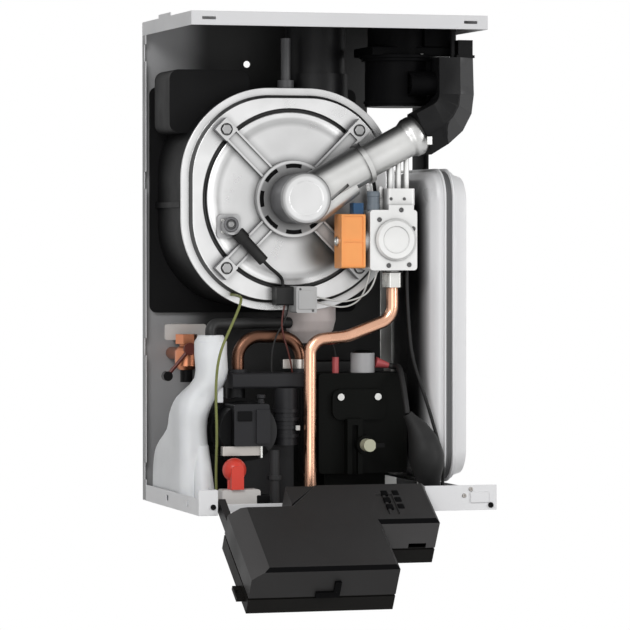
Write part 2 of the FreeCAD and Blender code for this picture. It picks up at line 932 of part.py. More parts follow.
def exchanger_coil():
    """Stacked flat turns round a thin wall, carried by a header on each side."""
    turns = []
    y_first = y_panel - shell_wall - coil_turn_height
    for index in range(coil_turns):
        start = V(cell_offset, y_first - index * coil_pitch, z_cell)
        turns.append(ring(start, FRONT, coil_outer, coil_inner, coil_turn_height))
    length = (coil_turns - 1) * coil_pitch + coil_turn_height
    wall_middle = (coil_inner + coil_outer) / 2
    start = V(cell_offset, y_first, z_cell)
    web = ring(start, FRONT, wall_middle + coil_web / 2, wall_middle - coil_web / 2, length)
    y_header = (y_first - length, y_first)
    x_header = (cell_offset - shell_half + shell_wall, cell_offset + shell_half - shell_wall)
    bore = rod(start, FRONT, wall_middle, length)
    header = box(x_header, y_header, around(z_cell, coil_header)).cut(bore)
    return joined(web, header, *turns)


def burner_door():
    """Stamped door: flange, raised band, groove and dished centre disc, hollow behind."""
    flange = cell_prism(door_half, door_corner, y_door_flange, y_shell_front)
    band = cell_prism(door_half - door_step_inset, door_corner - door_step_inset, y_door_step, y_door_flange)
    groove_start = V(cell_offset, y_door_step + door_groove_depth, z_cell)
    groove = rod(groove_start, FRONT, door_groove_radius, door_groove_depth)
    height = door_step + door_disc_rise
    z_rim = height - door_dish_drop
    flat_radius = door_disc_radius - door_dish_rim
    profile = [(0, 0), (door_disc_radius, 0), (door_disc_radius, z_rim - door_dish_drop / 2),
               (door_disc_radius - door_dish_drop / 2, z_rim), (flat_radius, z_rim),
               (flat_radius - door_dish_slope, height), (0, height)]
    disc = revolved(profile, V(cell_offset, y_door_flange, z_cell), FRONT)
    door = joined(joined(flange, band).cut(groove), disc)
    door = bevelled(door, door_step / 2, flat_edge_at(y_door_step, door_groove_radius + door_bevel_margin))
    back = V(cell_offset, y_shell_front, z_cell)
    throat_length = y_shell_front - y_door_disc
    recess = ring(back, FRONT, door_disc_radius - door_recess_inset, burner_radius + burner_rim + door_sheet,
                  throat_length - door_sheet)
    throat = rod(back, FRONT, door_throat_radius, throat_length)
    return door.cut(recess).cut(throat)


def burner_tube():
    rim = ring(V(cell_offset, y_shell_front, z_cell), Y_AXIS, burner_radius + burner_rim, burner_radius - burner_wall,
               burner_wall)
    body = rod(V(cell_offset, y_shell_front, z_cell), Y_AXIS, burner_radius, burner_length)
    hollow = rod(V(cell_offset, y_shell_front, z_cell), Y_AXIS, burner_radius - burner_wall,
                 burner_length - burner_wall)
    return joined(body.cut(hollow), rim)


def arm(degrees):
    """One clamp arm with turned-up edges and a square pad on the door's band."""
    middle = V(cell_offset, 0, z_cell)
    y_arm = (y_door_disc - arm_thickness, y_door_disc)
    y_lip = (y_arm[0] - arm_lip_height, y_arm[0])
    x_arm = (cell_offset + hub_radius - hub_rim, cell_offset + arm_nut_radius)
    plate = box(x_arm, y_arm, around(z_cell, arm_width))
    lips = []
    for side in (-1, 1):
        lips.append(box(x_arm, y_lip, around(z_cell + side * (arm_width - arm_lip) / 2, arm_lip)))
    pad = box(around(cell_offset + arm_nut_radius, arm_pad), (y_lip[0], y_door_step), around(z_cell, arm_pad))
    seat = rod(V(cell_offset + arm_nut_radius, y_arm[0], z_cell), FRONT, arm_seat_radius, arm_lip_height)
    piece = joined(plate, pad, *lips).cut(seat)
    piece.rotate(middle, Y_AXIS, -degrees)
    return piece


def hub_slot(index):
    """One curved slot in the hub's front face."""
    middle = V(cell_offset, y_hub_front, z_cell)
    near = middle + X_AXIS * (hub_slot_radius - hub_slot_width / 2)
    far = middle + X_AXIS * (hub_slot_radius + hub_slot_width / 2)
    deep = Y_AXIS * hub_slot_depth
    face = Part.Face(Part.makePolygon([near, far, far + deep, near + deep, near]))
    slot = face.revolve(middle, FRONT, hub_slot_span)
    slot.rotate(middle, FRONT, 360 / hub_slots * index - hub_slot_span / 2)
    return slot


def burner_flange():
    hub = rod(V(cell_offset, y_door_disc, z_cell), FRONT, hub_radius, hub_thickness)
    arms = [arm(degrees) for degrees in (45, 135, 225, 315)]
    throat = rod(V(cell_offset, y_door_disc, z_cell), FRONT, door_throat_radius, hub_thickness)
    flange = joined(hub, *arms).cut(throat)
    for index in range(hub_slots):
        flange = flange.cut(hub_slot(index))
    return flange


def flange_nuts():
    y_arm = y_door_disc - arm_thickness
    nuts = []
    for degrees in (45, 135, 225, 315):
        start = cell_point(arm_nut_radius, degrees, y_arm)
        nuts.append(hexagon(start, FRONT, nut_flats, nut_height, X_AXIS))
    return Part.makeCompound(nuts)


def tube_solid(radius, start, length):
    return rod(tube_start + tube_direction * start, tube_direction, radius, length)


def tube_cone(start, length, first, last):
    """Taper on the mixing tube's axis."""
    return Part.makeCone(first, last, length, tube_start + tube_direction * start, tube_direction)


def tube_bell():
    """Flared end of the mixing tube, against the duct's mouth."""
    opening, level, closing = tube_bell_lengths
    start = tube_length - duct_overlap - free_gap - sum(tube_bell_lengths)
    edge = (tube_radius + tube_bell_radius) / 2
    return joined(tube_cone(start, opening, tube_radius, tube_bell_radius),
                  tube_solid(tube_bell_radius, start + opening, level),
                  tube_cone(start + opening + level, closing, tube_bell_radius, edge))


def elbow_web():
    """Rounded rib of the casting, from the elbow up to the tube's underside."""
    start = tube_start + X_AXIS * elbow_web_start[0] + Z_AXIS * elbow_web_start[1]
    end = tube_start + X_AXIS * elbow_web_end[0] + Z_AXIS * elbow_web_end[1]
    run = end - start
    return joined(rod(start, run, elbow_web_radius, run.Length), Part.makeSphere(elbow_web_radius, start))


def elbow_slit():
    """Cut between the rib and the tube."""
    middle = tube_start + X_AXIS * elbow_slit_middle[0] + Z_AXIS * elbow_slit_middle[1]
    slit = box(around(middle.x, elbow_slit_length), (y_elbow_front, tube_start.y - elbow_slit_floor),
               around(middle.z, elbow_slit_width))
    slit.rotate(middle, Y_AXIS, -elbow_slit_angle)
    return slit


def mixture_elbow():
    """Cast elbow on the burner flange with the mixing tube rising to the right."""
    elbow = rod(V(cell_offset, y_hub_front, z_cell), FRONT, elbow_radius, elbow_length)
    thick = tube_solid(tube_thick_radius, 0, tube_thick_length)
    thin = tube_solid(tube_radius, 0, tube_length)
    collar = tube_solid(tube_thick_radius + tube_collar_proud, tube_thick_length - tube_collar_length,
                        tube_collar_length)
    body = joined(elbow, thick, thin, collar, tube_bell(), elbow_web())
    bore = rod(V(cell_offset, y_hub_front, z_cell), FRONT, elbow_bore, elbow_length)
    return body.cut(bore).cut(tube_solid(tube_bore, 0, tube_length)).cut(elbow_slit())


def elbow_cap():
    profile = [(0, 0), (cap_radius, 0), (cap_radius, cap_thickness - cap_edge),
               (cap_radius - cap_edge, cap_thickness), (cap_radius * 0.7, cap_thickness),
               (cap_radius * 0.66, cap_thickness - cap_edge / 2), (0, cap_thickness - cap_edge / 2)]
    return revolved(profile, V(cell_offset, y_elbow_front, z_cell), FRONT)


def duct_path(start_drop, end_reach):
    top = V(duct_corner.x, duct_corner.y, z_fan_top - start_drop)
    end = tube_end - tube_direction * (duct_overlap - end_reach)
    return [top, duct_corner, end]


def fan_neck(radius, x_end):
    start = V(fan_offset, duct_corner.y, z_fan_top - fan_outlet_drop - fan_outlet_radius)
    return rod(start, X_AXIS, radius, x_end - fan_offset)


def duct_stations():
    """Points and directions down the duct: top, through the bend, and the mouth."""
    top, corner, end = duct_path(0, 0)
    leaving = (end - corner).normalize()
    turn = DOWN.getAngle(leaving)
    reach = duct_bend * math.tan(turn / 2)
    axis = DOWN.cross(leaving).normalize()
    entry = corner - DOWN * reach
    centre = entry + axis.cross(DOWN) * duct_bend
    stations = [(top, DOWN)]
    for step in range(duct_bend_steps + 1):
        swing = FreeCAD.Rotation(axis, math.degrees(turn) * step / duct_bend_steps)
        stations.append((centre + swing.multVec(entry - centre), swing.multVec(DOWN)))
    return stations + [(end, leaving)], axis


def air_duct():
    """Faceted moulded duct: sections that grow from the fan side to the mouth round the tube."""
    stations, axis = duct_stations()
    forward = axis if axis.y < 0 else -axis
    sections = []
    for index, (point, direction) in enumerate(stations):
        share = index / (len(stations) - 1)
        across = forward.cross(direction)
        corners = []
        for above, below in zip(duct_outline, duct_mouth):
            u, v = [first + (last - first) * share for first, last in zip(above, below)]
            corners.append(point + across * u + forward * v)
        sections.append(Part.makePolygon(corners + corners[:1]))
    outer = Part.makeLoft(sections, True, True)
    inner = tube(duct_path(duct_cap, 0), duct_bend, duct_bore)
    mouth = tube_solid(tube_radius + fit_clearance, tube_length - duct_overlap, duct_overlap)
    top = stations[0][0]
    y_block = around(top.y, duct_block_depth)
    block = box([top.x + x for x in duct_block_span], y_block, (top.z, top.z + duct_block_height))
    ledge = box([top.x + x for x in duct_ledge_span], around(top.y, duct_ledge_depth), (top.z, top.z + duct_ledge))
    post = rod(top, Z_AXIS, duct_post_radius, z_top - sheet - top.z)
    duct = joined(outer, block, ledge, post).cut(inner).cut(mouth)
    return duct.cut(fan_neck(fan_outlet_radius + fit_clearance, top.x))


def fan_housing():
    foot = V(fan_offset, -fan_depth, z_fan_floor)
    drum = rod(foot, Z_AXIS, fan_radius, fan_height)
    neck = fan_neck(fan_outlet_radius, duct_corner.x + duct_outline[0][0] + duct_wall)
    flange = rod(V(fan_offset, -fan_depth, z_fan_top - fan_flange), Z_AXIS, fan_flange_radius, fan_flange)
    lip = rod(foot + Z_AXIS * fan_flange, Z_AXIS, fan_radius + fan_lip, fan_flange)
    housing = joined(drum, neck, flange, lip)
    chamber_height = fan_height - fan_motor_height - fan_wall
    chamber = rod(foot + Z_AXIS * fan_motor_height, Z_AXIS, fan_radius - fan_wall, chamber_height)
    inlet = rod(foot + Z_AXIS * fan_motor_height, Z_AXIS, fan_inlet_radius, fan_height)
    bore = fan_neck(fan_outlet_radius - fan_outlet_wall, duct_corner.x)
    bearing = rod(foot + Z_AXIS * (fan_motor_height - impeller_shaft_length), Z_AXIS,
                  impeller_shaft_radius + running_clearance, impeller_shaft_length)
    return housing.cut(chamber).cut(inlet).cut(bore).cut(bearing)


def fan_impeller():
    z_plate = z_fan_floor + fan_motor_height + free_gap
    middle = V(fan_offset, -fan_depth, z_plate)
    plate = rod(middle, Z_AXIS, impeller_radius, impeller_plate)
    hub = rod(middle, Z_AXIS, impeller_hub_radius, impeller_plate + impeller_blade_height / 2)
    shaft_length = impeller_shaft_length - free_gap
    shaft = rod(middle - Z_AXIS * shaft_length, Z_AXIS, impeller_shaft_radius, shaft_length)
    blades = []
    for index in range(impeller_blades):
        blade = box((fan_offset + impeller_blade_inner, fan_offset + impeller_radius),
                    around(-fan_depth, impeller_blade_width),
                    (z_plate, z_plate + impeller_plate + impeller_blade_height))
        blade.rotate(V(fan_offset + impeller_radius, -fan_depth, 0), Z_AXIS, 30)
        blade.rotate(middle, Z_AXIS, 360 / impeller_blades * index)
        blades.append(blade)
    rim = rod(middle, Z_AXIS, impeller_radius, impeller_plate + impeller_blade_height)
    vanes = Part.makeCompound(blades).common(rim)
    return joined(plate, hub, shaft, *vanes.Solids)


def socket(x, depth, z_bottom):
    """Pipe socket that ends flush with the casing top, with a flange under the top panel."""
    start = V(x, -depth, z_bottom)
    body = rod(start, Z_AXIS, socket_bore + socket_wall, z_top - z_bottom)
    flange = rod(V(x, -depth, z_top - sheet - socket_flange), Z_AXIS, socket_flange_radius, socket_flange)
    return joined(body, flange)


def intake_collar():
    collar = socket(fan_offset, fan_depth, z_fan_top)
    foot = rod(V(fan_offset, -fan_depth, z_fan_top), Z_AXIS, socket_flange_radius, socket_flange)
    bore = rod(V(fan_offset, -fan_depth, z_fan_top), Z_AXIS, socket_bore, z_top - z_fan_top)
    return joined(collar, foot).cut(bore)


def flue_socket():
    z_boss_top = z_cell + shell_half + socket_flange_radius / 2
    z_boss_bottom = z_cell + shell_half - flue_boss_sink
    boss = rod(V(flue_offset, -flue_depth, z_boss_bottom), Z_AXIS, flue_boss_radius, z_boss_top - z_boss_bottom)
    body = joined(socket(flue_offset, flue_depth, z_boss_top), boss).cut(shell_outline())
    seat = V(flue_offset, -flue_depth, z_boss_top)
    bore = rod(seat, Z_AXIS, socket_bore, z_top - z_boss_top)
    throat = rod(V(flue_offset, -flue_depth, z_cell), Z_AXIS, flue_throat_radius, z_top - z_cell)
    return body.cut(bore).cut(throat)


def flue_sensor():
    foot = V(sensor_offset, -sensor_depth, z_cell + shell_half)
    base = rod(foot, Z_AXIS, sensor_base_radius, sensor_base_height)
    stem = rod(foot, Z_AXIS, sensor_radius, sensor_height)
    return joined(base, stem)


def coil_axis():
    return V(valve_left - valve_neck, y_valve_middle, z_coil_top - coil_height / 2)


def gas_valve_body():
    z_main = z_valve_top - valve_shoulder_height
    body = box((valve_left, valve_right), (y_valve_front, y_valve_back), (z_valve_bottom, z_main))
    body = softened(body, valve_edge, straight_along(Y_AXIS))
    shoulder_right = valve_right - valve_shoulder_inset
    shoulder = box((shoulder_right - valve_shoulder_width, shoulder_right), (y_valve_front, y_valve_back),
                   (z_main, z_valve_top))
    neck = rod(coil_axis(), X_AXIS, plunger_radius * 2, valve_neck + valve_edge)
    body = joined(body, shoulder, neck)
    bore = rod(coil_axis(), X_AXIS, plunger_radius + running_clearance, plunger_travel + free_gap)
    pocket = rod(V(union_x, y_valve_middle, z_valve_bottom), Z_AXIS, gas_pipe_radius, gas_pipe_engagement)
    return body.cut(bore).cut(pocket)


def gas_valve_cover():
    profile = [(0, 0), (valve_cover_radius, 0), (valve_cover_radius, valve_cover_rise / 2),
               (valve_cover_radius - valve_cover_rise / 2, valve_cover_rise), (valve_cover_dish, valve_cover_rise),
               (valve_cover_dish - valve_cover_rise / 4, valve_cover_rise * 0.75), (0, valve_cover_rise * 0.75)]
    middle = V((valve_left + valve_right) / 2 + valve_edge / 2, y_valve_front, z_valve_top - valve_cover_drop)
    return revolved(profile, middle, FRONT)


def gas_valve_coil():
    x_coil = (valve_left - valve_neck - coil_width, valve_left - valve_neck)
    coil = box(x_coil, around(y_valve_middle, coil_thickness), (z_coil_top - coil_height, z_coil_top))
    coil = softened(coil, coil_edge, straight_along(X_AXIS))
    y_front = y_valve_middle - coil_thickness / 2
    z_middle = z_coil_top - coil_height / 2
    panel_height = coil_height / 2 - coil_frame - coil_seam / 2
    for side in (-1, 1):
        z_panel = around(z_middle + side * (coil_seam + panel_height) / 2, panel_height)
        coil = coil.cut(box((x_coil[0] + coil_frame, x_coil[1] - coil_frame), (y_front, y_front + coil_recess),
                            z_panel))
    bore_length = plunger_length + free_gap
    bore = rod(coil_axis() - X_AXIS * bore_length, X_AXIS, plunger_radius + running_clearance, bore_length)
    return coil.cut(bore)


def gas_valve_plunger():
    return rod(coil_axis() - X_AXIS * plunger_length, X_AXIS, plunger_radius, plunger_length)


def coil_plug():
    x_plug = (valve_left - valve_neck - plug_width, valve_left - valve_neck)
    body = box(x_plug, around(y_valve_middle, plug_thickness), (z_coil_top, z_coil_top + plug_height))
    return softened(body, coil_edge / 2, straight_along(Z_AXIS))


def gas_feed_block():
    """Block on the valve with gas tubes that end on the mixing tube's underside."""
    z_block = (z_valve_top, z_valve_top + feed_height)
    block = box(around(feed_x, feed_width), around(y_valve_middle, feed_thickness), z_block)
    block = softened(block, valve_edge, straight_along(Z_AXIS))
    tubes = []
    for index in range(feed_tube_count):
        x = feed_x + (index - (feed_tube_count - 1) / 2) * feed_tube_pitch
        axis_point = tube_start + tube_direction * ((x - cell_offset) / tube_direction.x)
        tubes.append(rod(V(x, y_valve_middle, z_block[1]), Z_AXIS, feed_tube_radius, axis_point.z - z_block[1]))
    mixing_tube = tube_solid(tube_radius + fit_clearance, 0, tube_length)
    bell_start = tube_length - duct_overlap - free_gap - sum(tube_bell_lengths)
    bell = tube_solid(tube_bell_radius + fit_clearance, bell_start, tube_length)
    return joined(block, *tubes).cut(mixing_tube).cut(bell)


def gas_union():
    top = V(union_x, y_valve_middle, z_valve_bottom)
    collar = rod(top, DOWN, union_collar_radius, union_collar_height)
    nut = hexagon(V(union_x, y_valve_middle, z_union_top), DOWN, union_flats, union_height, X_AXIS)
    bore = rod(top, DOWN, gas_pipe_radius + fit_clearance, union_collar_height + union_height)
    return joined(collar, nut).cut(bore)


def gas_pipe():
    y = y_valve_middle
    points = [V(union_x, y, z_union_bottom + gas_pipe_engagement), V(union_x, y, z_union_bottom - gas_pipe_drop),
              V(gas_pipe_offset + gas_pipe_run, y, z_union_bottom - gas_pipe_run_drop[0]),
              V(gas_pipe_offset, y, z_union_bottom - gas_pipe_run_drop[1]),
              V(gas_pipe_offset, y, z_base - tail_drop)]
    collar = rod(V(gas_pipe_offset, y, z_base), DOWN, gas_pipe_radius + tail_collar_proud, tail_collar_height)
    return joined(tube(points, gas_pipe_bends, gas_pipe_radius), collar)


def electrode_holder():
    middle = cell_point(door_disc_radius - holder_inset, holder_angle, y_door_disc)
    plate = rounded_prism(middle, X_AXIS, Z_AXIS, holder_half, holder_half, holder_half / 3, FRONT * holder_plate)
    boss = rod(middle, FRONT, holder_boss_radius, holder_boss_length)
    return joined(plate, boss)


def boot_axis():
    """Start point and direction of the electrode boot, beside the holder's boss."""
    turn = math.radians(boot_angle)
    direction = V(math.cos(turn), 0, math.sin(turn))
    y = y_door_disc - holder_boss_length + boot_radius / 2
    middle = cell_point(door_disc_radius - holder_inset, holder_angle, y)
    return middle + direction * (holder_boss_radius + free_gap), direction


def ignition_box():
    """Spans of the ignition unit on the door's band."""
    x = around(cell_offset + ignition_offset, ignition_width)
    y = (y_door_step - ignition_thickness, y_door_step)
    z_high = z_cell - door_disc_radius - free_gap
    return x, y, (z_high - ignition_height, z_high)


def ignition_boots():
    start, direction = boot_axis()
    boot = joined(rod(start, direction, boot_radius, boot_length),
                  rod(start, direction, boot_radius * 1.25, boot_length / 4))
    x, y, z = ignition_box()
    plug = box((x[0] - ignition_plug_width, x[0]), (y[1] - ignition_plug_thickness, y[1]),
               (z[1] - ignition_plug_height - free_gap, z[1] - free_gap))
    plug = softened(plug, ignition_edge, straight_along(X_AXIS))
    return Part.makeCompound([boot, plug])


def ignition_unit():
    x, y, z = ignition_box()
    return softened(box(x, y, z), ignition_edge, straight_along(Y_AXIS))


def ignition_lead():
    start, direction = boot_axis()
    first = start + direction * boot_length
    x, y, z = ignition_box()
    last = V(x[0] - ignition_plug_width / 2, y[1] - ignition_plug_thickness / 2, z[1] - free_gap)
    points = [first, first + direction * 12, last + Z_AXIS * 10, last]
    return tube(points, 5, lead_radius)


def condensate_bowl():
    z_rim = z_cell - shell_half + shell_wall
    profile = [(0, 0), (bowl_radius, 0), (bowl_radius, -bowl_height * 0.45), (bowl_radius * 0.9, -bowl_height * 0.7),
               (bowl_foot_radius, -bowl_height), (0, -bowl_height)]
    bowl = revolved(profile, V(bowl_offset, -bowl_depth, z_rim), Z_AXIS)
    return bowl.cut(shell_outline())


def condensate_hose():
    start = V(bowl_offset, -bowl_depth, z_hose)
    corner = V(siphon_neck_x, -siphon_neck_depth, z_hose)
    hose = tube([start, corner, V(corner.x, corner.y, z_siphon_neck)], hose_radius * 1.4, hose_radius)
    bowl = rod(start - Z_AXIS * bowl_height, Z_AXIS, bowl_radius + fit_clearance, 2 * bowl_height)
    return hose.cut(bowl)


def siphon_section(z, x, y, half_x, half_y, corner):
    return rounded_wire(V(x, y, z), X_AXIS, Y_AXIS, half_x, half_y, corner)


def siphon_body():
    """Blow-moulded trap: a round neck that spreads back and down into a flat bottle, with a front leg."""
    z_shoulder = z_siphon_neck - siphon_top_round
    neck_corner = siphon_neck_radius - free_gap
    top = Part.makeCone(neck_corner, siphon_top_radius, siphon_top_round,
                        V(siphon_neck_x, -siphon_neck_depth, z_shoulder), Z_AXIS)
    rows = []
    for level in [z_shoulder] + [z_floor + rise for rise in siphon_neck_rises]:
        rows.append((level, siphon_neck_x, -siphon_neck_depth, siphon_neck_radius, siphon_neck_radius, neck_corner))
    wall = -half_width
    for rise, side_gap, width, front, back, corner in siphon_bottle:
        rows.append((z_floor + rise, wall + side_gap + width / 2, -(front + back) / 2, width / 2, (front - back) / 2,
                     corner))
    sections = []
    for z, x, y, half_x, half_y, corner in smooth_rows(rows, siphon_steps):
        sections.append(siphon_section(z, x, y, half_x, half_y, min(corner, half_x - free_gap)))
    bottle = Part.makeLoft(sections, True, True)
    leg_foot = V(wall + siphon_leg_side, -siphon_leg_depth, z_floor)
    leg_top = V(wall + siphon_leg_side, -siphon_leg_top_depth, z_floor + siphon_leg_height)
    leg_rings = [Part.Wire(Part.makeCircle(siphon_leg_radius, leg_foot, Z_AXIS)),
                 Part.Wire(Part.makeCircle(siphon_leg_top_radius, leg_top, Z_AXIS))]
    return joined(bottle, top, Part.makeLoft(leg_rings, True, True))


def flow_pipe():
    y = -flow_pipe_depth
    z_end = z_manifold_top - flow_pipe_engagement
    z_high = z_manifold_top + flow_pipe_rise
    points = [V(flow_pipe_left, y, z_end), V(flow_pipe_left, y, z_high), V(flow_pipe_right, y, z_high),
              V(flow_pipe_right, y, z_end)]
    return tube(points, flow_pipe_bend, flow_pipe_radius)


def cartridge():
    """Ribbed valve cartridge that hangs from the manifold."""
    top = V(cartridge_x, -flow_pipe_depth - cartridge_front, z_manifold_bottom)
    barrel = rod(top, DOWN, cartridge_radius, cartridge_length)
    ribs = []
    for index in range(cartridge_ribs):
        drop = cartridge_rib_drop + index * cartridge_rib_pitch
        ribs.append(rod(top + DOWN * drop, DOWN, cartridge_radius + cartridge_rib_proud, cartridge_rib))
    return joined(barrel, *ribs)


def flow_manifold():
    x_bar = (flow_pipe_left - manifold_margin, flow_pipe_right + manifold_margin)
    bar = box(x_bar, around(-flow_pipe_depth, manifold_thickness), (z_manifold_bottom, z_manifold_top))
    bar = softened(bar, manifold_edge, straight_along(X_AXIS))
    collars = []
    for x in (flow_pipe_left, flow_pipe_right):
        collars.append(rod(V(x, -flow_pipe_depth, z_manifold_top), Z_AXIS, flow_pipe_radius + collar_wall,
                           collar_height))
    manifold = joined(bar, cartridge(), *collars)
    for x in (flow_pipe_left, flow_pipe_right):
        bore_start = V(x, -flow_pipe_depth, z_manifold_top - flow_pipe_engagement)
        manifold = manifold.cut(rod(bore_start, Z_AXIS, flow_pipe_radius + fit_clearance,
                                    flow_pipe_engagement + collar_height))
    return manifold


def pump_strap():
    """Steel strap under the pump's electronics box."""
    right = pump_offset + strap_side
    y_front = y_volute_front - driver_reach + strap_inset
    z_high = z_pump - driver_drop
    return box((right - strap_width, right), (y_front, y_front + strap_depth), (z_high - strap_height, z_high))


def pipe_clip():
    foot = V(flow_pipe_right, -flow_pipe_depth, z_manifold_top + collar_height)
    outer = flow_pipe_radius + collar_wall
    band = rod(foot, Z_AXIS, outer, clip_height)
    tab = box((flow_pipe_right - outer - clip_tab_length, flow_pipe_right), around(foot.y, clip_tab_thickness),
              (foot.z, foot.z + clip_height))
    bore = rod(foot, Z_AXIS, flow_pipe_radius + fit_clearance, clip_height)
    return Part.makeCompound([joined(band, tab).cut(bore), pump_strap()])


def pump_volute():
    body = rod(V(pump_offset, y_volute_back, z_pump), FRONT, volute_radius, volute_thickness)
    neck = rod(V(pump_offset, -volute_depth, z_pump), Z_AXIS, volute_neck_radius, z_manifold_bottom - z_pump)
    x_foot = [pump_offset + x for x in foot_left]
    foot = box(x_foot, around(-tail_depth, foot_thickness), (z_floor, z_pump - volute_radius / 2))
    body = joined(body, neck, foot)
    chamber = rod(V(pump_offset, y_volute_back - volute_wall, z_pump), FRONT, volute_radius - volute_wall,
                  volute_thickness - volute_wall)
    return body.cut(chamber)


def pump_motor():
    """Motor can with its electronics box in front, and the drain post beside it on the pan."""
    start = V(pump_offset, y_volute_front, z_pump)
    can = rod(start, FRONT, motor_radius, motor_length)
    flange = rod(start, FRONT, volute_radius, motor_fin * 2)
    y_front = y_volute_front - driver_reach
    z_driver = (z_pump - driver_drop, z_pump - driver_drop + driver_height)
    driver = box(around(pump_offset, driver_width), (y_front, y_front + driver_depth), z_driver)
    driver = softened(driver, driver_edge, straight_along(Y_AXIS))
    lid_right = pump_offset + driver_width / 2
    lid = box((lid_right - driver_lid_width, lid_right), (y_front - driver_lid_proud, y_front),
              (z_driver[0] + driver_lid_margin, z_driver[1] - 2 * driver_lid_margin))
    motor = joined(can, flange, driver, lid)
    bearing = rod(start, FRONT, pump_shaft_radius + running_clearance, pump_shaft_length)
    foot = V(pump_offset + post_side, -post_depth, z_floor)
    bead = rod(foot + Z_AXIS * post_bead_rise, Z_AXIS, post_radius + post_bead, 2 * post_bead)
    post = joined(rod(foot, Z_AXIS, post_radius, post_height), bead)
    return Part.makeCompound([motor.cut(bearing), post])


def pump_impeller():
    y_start = y_volute_front + free_gap
    middle = V(pump_offset, y_start, z_pump)
    plate = rod(middle, Y_AXIS, pump_wheel_radius, volute_wall / 2)
    hub = rod(middle, Y_AXIS, pump_wheel_radius / 3, pump_wheel_thickness)
    shaft = rod(middle, FRONT, pump_shaft_radius, pump_shaft_length)
    vanes = []
    for index in range(pump_vanes):
        vane = box((pump_offset, pump_offset + pump_wheel_radius - motor_fin),
                   (y_start, y_start + pump_wheel_thickness),
                   around(z_pump, motor_fin))
        vane.rotate(middle, Y_AXIS, 360 / pump_vanes * index)
        vanes.append(vane)
    return joined(plate, hub, shaft, *vanes)


def hydraulic_block():
    """Black moulded block with a front housing, a channelled pillar, the drain stub and the diverter's stem."""
    body = box((block_left, block_left + block_width), (-block_front, -block_back), (z_block_bottom, z_block_top))
    body = softened(body, block_edge, straight_along(Y_AXIS))
    foot = box([block_left + x for x in foot_right],
               around(-tail_depth - foot_thickness / 4, foot_thickness / 2 + block_edge), (z_floor, z_block_bottom))
    z_housing = (z_block_top - housing_drop - housing_height, z_block_top - housing_drop)
    housing = box([block_left + x for x in housing_span], (-block_front - housing_proud, -block_front), z_housing)
    housing = softened(housing, housing_corner, straight_along(Y_AXIS))
    y_pillar = (-block_front - pillar_proud, -block_front)
    pillar_x = block_left + pillar_offset
    pillar = box(around(pillar_x, pillar_width), y_pillar, (z_block_bottom, z_floor + pillar_top_rise))
    channel = box(around(pillar_x, pillar_channel), (y_pillar[0], y_pillar[0] + pillar_channel_depth),
                  (z_block_bottom, z_floor + pillar_top_rise - pillar_channel))
    stub = rod(V(drain_x, -block_front, z_floor + drain_rise), FRONT, drain_stub_radius, drain_stub_length)
    stem_radius = diverter_radius - diverter_wall - fit_clearance
    stem_height = diverter_height + diverter_cap_proud
    stem_profile = [(0, 0), (stem_radius, 0), (stem_radius, stem_height - diverter_cap_edge),
                    (stem_radius - diverter_cap_edge, stem_height), (0, stem_height)]
    stem = revolved(stem_profile, V(diverter_x, -diverter_depth, z_block_top), Z_AXIS)
    pieces = [foot, housing, pillar.cut(channel), stub, stem]
    for x in block_screw_offsets:
        head_start = V(block_left + x, -block_front - housing_proud, z_block_top - block_screw_drop)
        pieces.append(rod(head_start, FRONT, block_screw_radius, block_screw_proud))
    body = joined(body, *pieces)
    pin = rod(V(drain_x, -block_front - drain_stub_length, z_floor + drain_rise), Y_AXIS,
              drain_pin_radius + running_clearance, drain_pin_length)
    return body.cut(pin)


def plate_exchanger():
    """Stack of plates held apart by four port columns."""
    z = (z_floor + plate_exchanger_rise, z_floor + plate_exchanger_rise + plate_exchanger_height)
    y_front = -block_back
    pitch = (plate_exchanger_thickness - plate_exchanger_plate) / (plate_exchanger_plates - 1)
    plates = []
    for index in range(plate_exchanger_plates):
        y_plate = y_front + index * pitch
        plates.append(box(around(block_middle, plate_exchanger_width), (y_plate, y_plate + plate_exchanger_plate), z))
    columns = []
    for side in (-1, 1):
        x = block_middle + side * (plate_exchanger_width / 2 - plate_exchanger_port_inset)
        for level in (z[0] + plate_exchanger_port_inset, z[1] - plate_exchanger_port_inset):
            columns.append(rod(V(x, y_front, level), Y_AXIS, plate_exchanger_port, plate_exchanger_thickness))
    return joined(*plates, *columns)


def diverter_actuator():
    """Open cup round the stem on the hydraulic block."""
    foot = V(diverter_x, -diverter_depth, z_block_top)
    return ring(foot, Z_AXIS, diverter_radius, diverter_radius - diverter_wall, diverter_height)


def plug_cone_start():
    return V(diverter_x + diverter_radius + free_gap + plug_cone_radius / 4, -diverter_depth,
             z_block_top + plug_cone_rise)


def sensor_plugs():
    cone = Part.makeCone(plug_cone_radius, plug_cone_tip, plug_cone_length, plug_cone_start(), plug_axis)
    pin = rod(V(block_left + pin_plug_offset, -diverter_depth, z_block_top), Z_AXIS, pin_plug_radius, pin_plug_height)
    return Part.makeCompound([cone, pin])


def relief_valve_body():
    body = box(around(relief_offset, relief_width), (-relief_front, -relief_back), (z_floor, z_floor + relief_height))
    body = softened(body, relief_edge, straight_along(Y_AXIS))
    top = V(knob_offset, -(relief_front + relief_back) / 2, z_floor + relief_height)
    return body.cut(rod(top, DOWN, knob_pin_radius + running_clearance, knob_pin_length))


